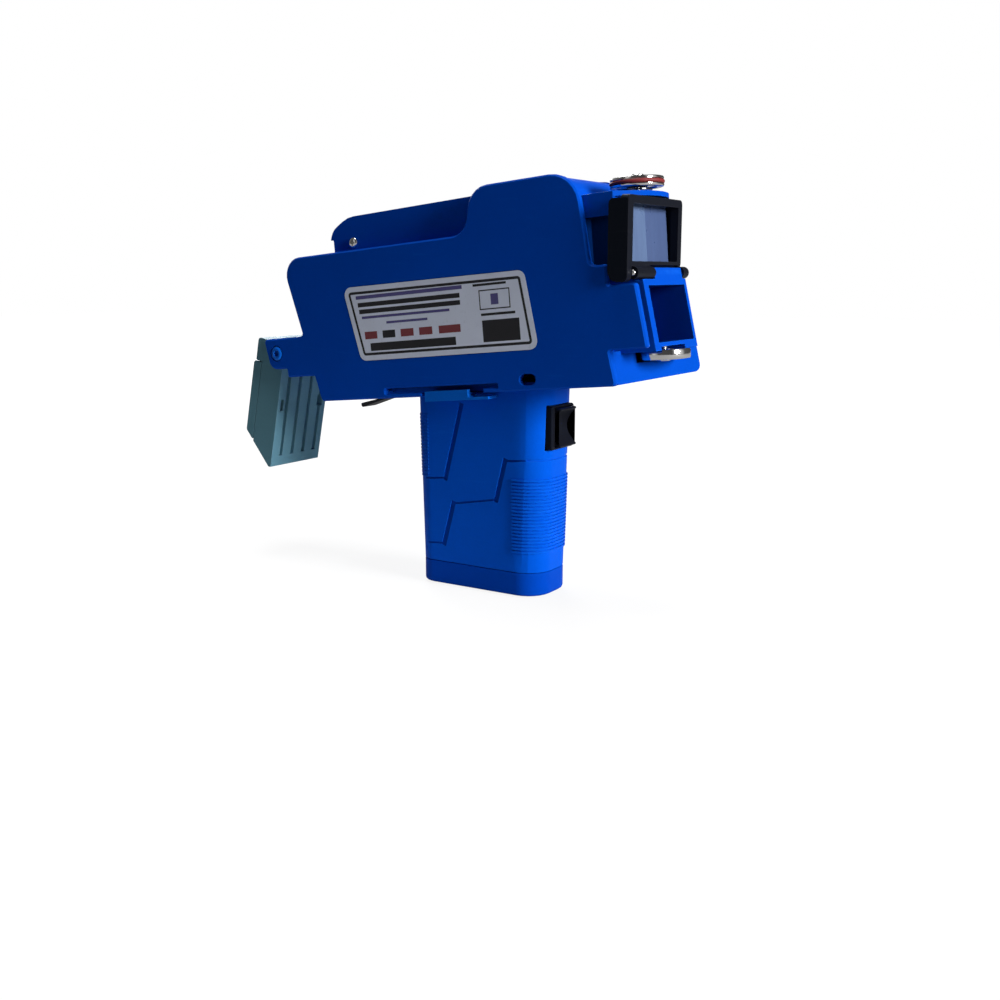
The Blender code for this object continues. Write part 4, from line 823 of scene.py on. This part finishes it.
def hinge_pin():
    """Latch pin with domed ends."""
    low, high = PIN_ENDS
    piece = turned("hinge_pin", [(0.4, low), (0.85, low + 0.15), (PIN_RADIUS, low + 0.5),
                                 (PIN_RADIUS, high - 0.5), (0.85, high - 0.15), (0.4, high)],
                   closed=False, sides=32)
    settle(piece, on_body(HINGE[0], 0.0, HINGE[1]), -math.pi / 2.0, "X")
    only(piece)
    bpy.ops.object.shade_smooth_by_angle(angle=math.radians(50.0))
    dress(piece, "latch_pin")


def screen_panel():
    """Display glass with a sunk, slightly paler viewing area."""
    piece = copy_node("display_glass", "screen_panel")
    dress(piece, "display_glass", finishes["dark_glass"], screen_glass("screen_off", (0.020, 0.026, 0.028)))
    open_mesh(piece)
    pick_faces(piece, lambda c, n: n.x < -0.9)
    bpy.ops.mesh.inset(thickness=2.4 * MM, depth=0.0)
    bpy.ops.mesh.inset(thickness=0.3 * MM, depth=-0.15 * MM)
    paint(piece, 1)
    close_mesh()


print_face_frame()
grip_tube()
side_label()
guide_wheel("top_wheel", "top_guide_wheel", TOP_WHEEL, True)
guide_wheel("lower_wheel", "lower_guide_wheel", LOWER_WHEEL, False)
rubber_ring()
axle_pin("top_axle_pin", "top_wheel_axle", TOP_WHEEL, -5.0, 2.3, 0.9)
axle_pin("lower_axle_pin", "lower_wheel_axle", LOWER_WHEEL, 3.9, -2.2, -0.5)
hinge_pin()
screen_panel()
cross_screw("lid_screw_right", "top_cover_screw_right", LID_SCREW, -LID_SEAT, 1.6, 1.1, steel)
cross_screw("lid_screw_left", "top_cover_screw_left", LID_SCREW, LID_SEAT, 1.6, 1.1, steel)
socket_screw("ear_screw_right", "display_pivot_screw_right", PIVOT, -COVER_SEAT, 8.0, 1.35)
socket_screw("ear_screw_left", "display_pivot_screw_left", PIVOT, COVER_SEAT, 12.0, 1.35)
for number, place in enumerate(CASE_SCREWS, 1):
    cross_screw(f"shell_screw_{number}", f"case_screw_{number}", place, COVER_SEAT, 8.0, 1.1, steel)

for name, node in nodes.items():
    if not node.hide_render:
        node.data.materials.clear()
        node.data.materials.append(finishes[slot_of[name]])


# Studio.

def studio():
    scene = bpy.context.scene
    scene.view_settings.view_transform = "Standard"
    camera = bpy.data.objects.new("camera", bpy.data.cameras.new("camera"))
    scene.collection.objects.link(camera)
    camera.location = CAMERA_PLACE
    camera.rotation_euler = (math.pi / 2.0 - CAMERA_ELEVATION, 0.0, CAMERA_AZIMUTH)
    camera.data.lens = CAMERA_LENS
    camera.data.sensor_width = 36.0
    camera.data.clip_start = 0.01
    scene.camera = camera


def lamp(name, place, size, watts):
    data = bpy.data.lights.new(name, "AREA")
    data.shape = "DISK"
    data.size = size
    data.energy = watts
    made = bpy.data.objects.new(name, data)
    bpy.context.scene.collection.objects.link(made)
    made.location = place
    made.rotation_euler = (Vector(LAMP_AIM) - Vector(place)).to_track_quat("-Z", "Y").to_euler()


def math_node(tree, operation, first, second):
    """Math node on two outputs, or on an output and a number."""
    node = tree.nodes.new("ShaderNodeMath")
    node.operation = operation
    for socket, value in zip(node.inputs, (first, second)):
        if isinstance(value, float):
            socket.default_value = value
        else:
            tree.links.new(value, socket)
    return node.outputs[0]


def white_world():
    """White where it is seen, a dim room with a few bright strips in mirrors, and soft room light."""
    world = bpy.data.worlds.new("studio_white")
    bpy.context.scene.world = world
    world.use_nodes = True
    tree = world.node_tree
    background = tree.nodes["Background"]
    background.inputs["Color"].default_value = (1.0, 1.0, 1.0, 1.0)
    rays = tree.nodes.new("ShaderNodeLightPath")
    way = tree.nodes.new("ShaderNodeSeparateXYZ")
    tree.links.new(tree.nodes.new("ShaderNodeTexCoord").outputs["Generated"], way.inputs["Vector"])
    bearing = math_node(tree, "ARCTAN2", way.outputs["Y"], way.outputs["X"])
    strips = tree.nodes.new("ShaderNodeValToRGB")
    stops = strips.color_ramp.elements
    stops[0].color = (MIRROR_STRIPS[0][1],) * 3 + (1.0,)
    stops[1].position = MIRROR_STRIPS[1][0]
    stops[1].color = (MIRROR_STRIPS[1][1],) * 3 + (1.0,)
    for turn, level in MIRROR_STRIPS[2:]:
        stops.new(turn).color = (level, level, level, 1.0)
    share = math_node(tree, "ADD", math_node(tree, "DIVIDE", bearing, 2.0 * math.pi), 0.5)
    tree.links.new(share, strips.inputs["Fac"])
    mirrored = math_node(tree, "MULTIPLY", rays.outputs["Is Glossy Ray"], strips.outputs["Color"])
    seen = math_node(tree, "MAXIMUM", rays.outputs["Is Camera Ray"], rays.outputs["Is Transmission Ray"])
    shown = math_node(tree, "MAXIMUM", seen, mirrored)
    strength = math_node(tree, "MAXIMUM", shown, ROOM_LIGHT)
    tree.links.new(strength, background.inputs["Strength"])


def pale_floor():
    """White floor that glows for the camera and still takes a soft shadow near the object."""
    bpy.ops.object.select_all(action="DESELECT")
    bpy.ops.mesh.primitive_plane_add(size=FLOOR_SIZE, location=(0.0, 0.0, -FLOOR_DROP))
    floor = bpy.context.object
    floor.name = "floor"
    finish = bpy.data.materials.new("floor_white")
    finish.use_nodes = True
    tree = finish.node_tree
    tree.nodes.remove(tree.nodes["Principled BSDF"])
    shade = tree.nodes.new("ShaderNodeBsdfDiffuse")
    shade.inputs["Color"].default_value = (FLOOR_SHADE, FLOOR_SHADE, FLOOR_SHADE, 1.0)
    bounce = tree.nodes.new("ShaderNodeBsdfDiffuse")
    away = tree.nodes.new("ShaderNodeVectorMath")
    away.operation = "LENGTH"
    tree.links.new(tree.nodes.new("ShaderNodeTexCoord").outputs["Object"], away.inputs[0])

    def fading(reach, level):
        """Level that goes from its first value near the object to its second one far from it."""
        node = tree.nodes.new("ShaderNodeMapRange")
        node.inputs["From Min"].default_value = reach[0]
        node.inputs["From Max"].default_value = reach[1]
        node.inputs["To Min"].default_value = level[0]
        node.inputs["To Max"].default_value = level[1]
        tree.links.new(away.outputs["Value"], node.inputs["Value"])
        return node.outputs["Result"]

    tree.links.new(fading(FLOOR_BOUNCE_REACH, FLOOR_BOUNCE), bounce.inputs["Color"])
    rays = tree.nodes.new("ShaderNodeLightPath")
    dimming = math_node(tree, "MULTIPLY", rays.outputs["Is Glossy Ray"], 1.0 - FLOOR_MIRRORED)
    level = math_node(tree, "SUBTRACT", 1.0, dimming)
    glow = tree.nodes.new("ShaderNodeEmission")
    shown = math_node(tree, "MULTIPLY", fading(FLOOR_GLOW_REACH, FLOOR_GLOW), level)
    tree.links.new(shown, glow.inputs["Strength"])
    seen_shade = tree.nodes.new("ShaderNodeAddShader")
    tree.links.new(shade.outputs[0], seen_shade.inputs[0])
    tree.links.new(glow.outputs[0], seen_shade.inputs[1])
    seen = math_node(tree, "MAXIMUM", rays.outputs["Is Camera Ray"], rays.outputs["Is Transmission Ray"])
    seen = math_node(tree, "MAXIMUM", seen, rays.outputs["Is Glossy Ray"])
    either = tree.nodes.new("ShaderNodeMixShader")
    tree.links.new(seen, either.inputs["Fac"])
    tree.links.new(bounce.outputs[0], either.inputs[1])
    tree.links.new(seen_shade.outputs[0], either.inputs[2])
    tree.links.new(either.outputs[0], tree.nodes["Material Output"].inputs["Surface"])
    floor.data.materials.append(finish)


studio()
white_world()
pale_floor()
for row in LAMPS:
    lamp(*row)
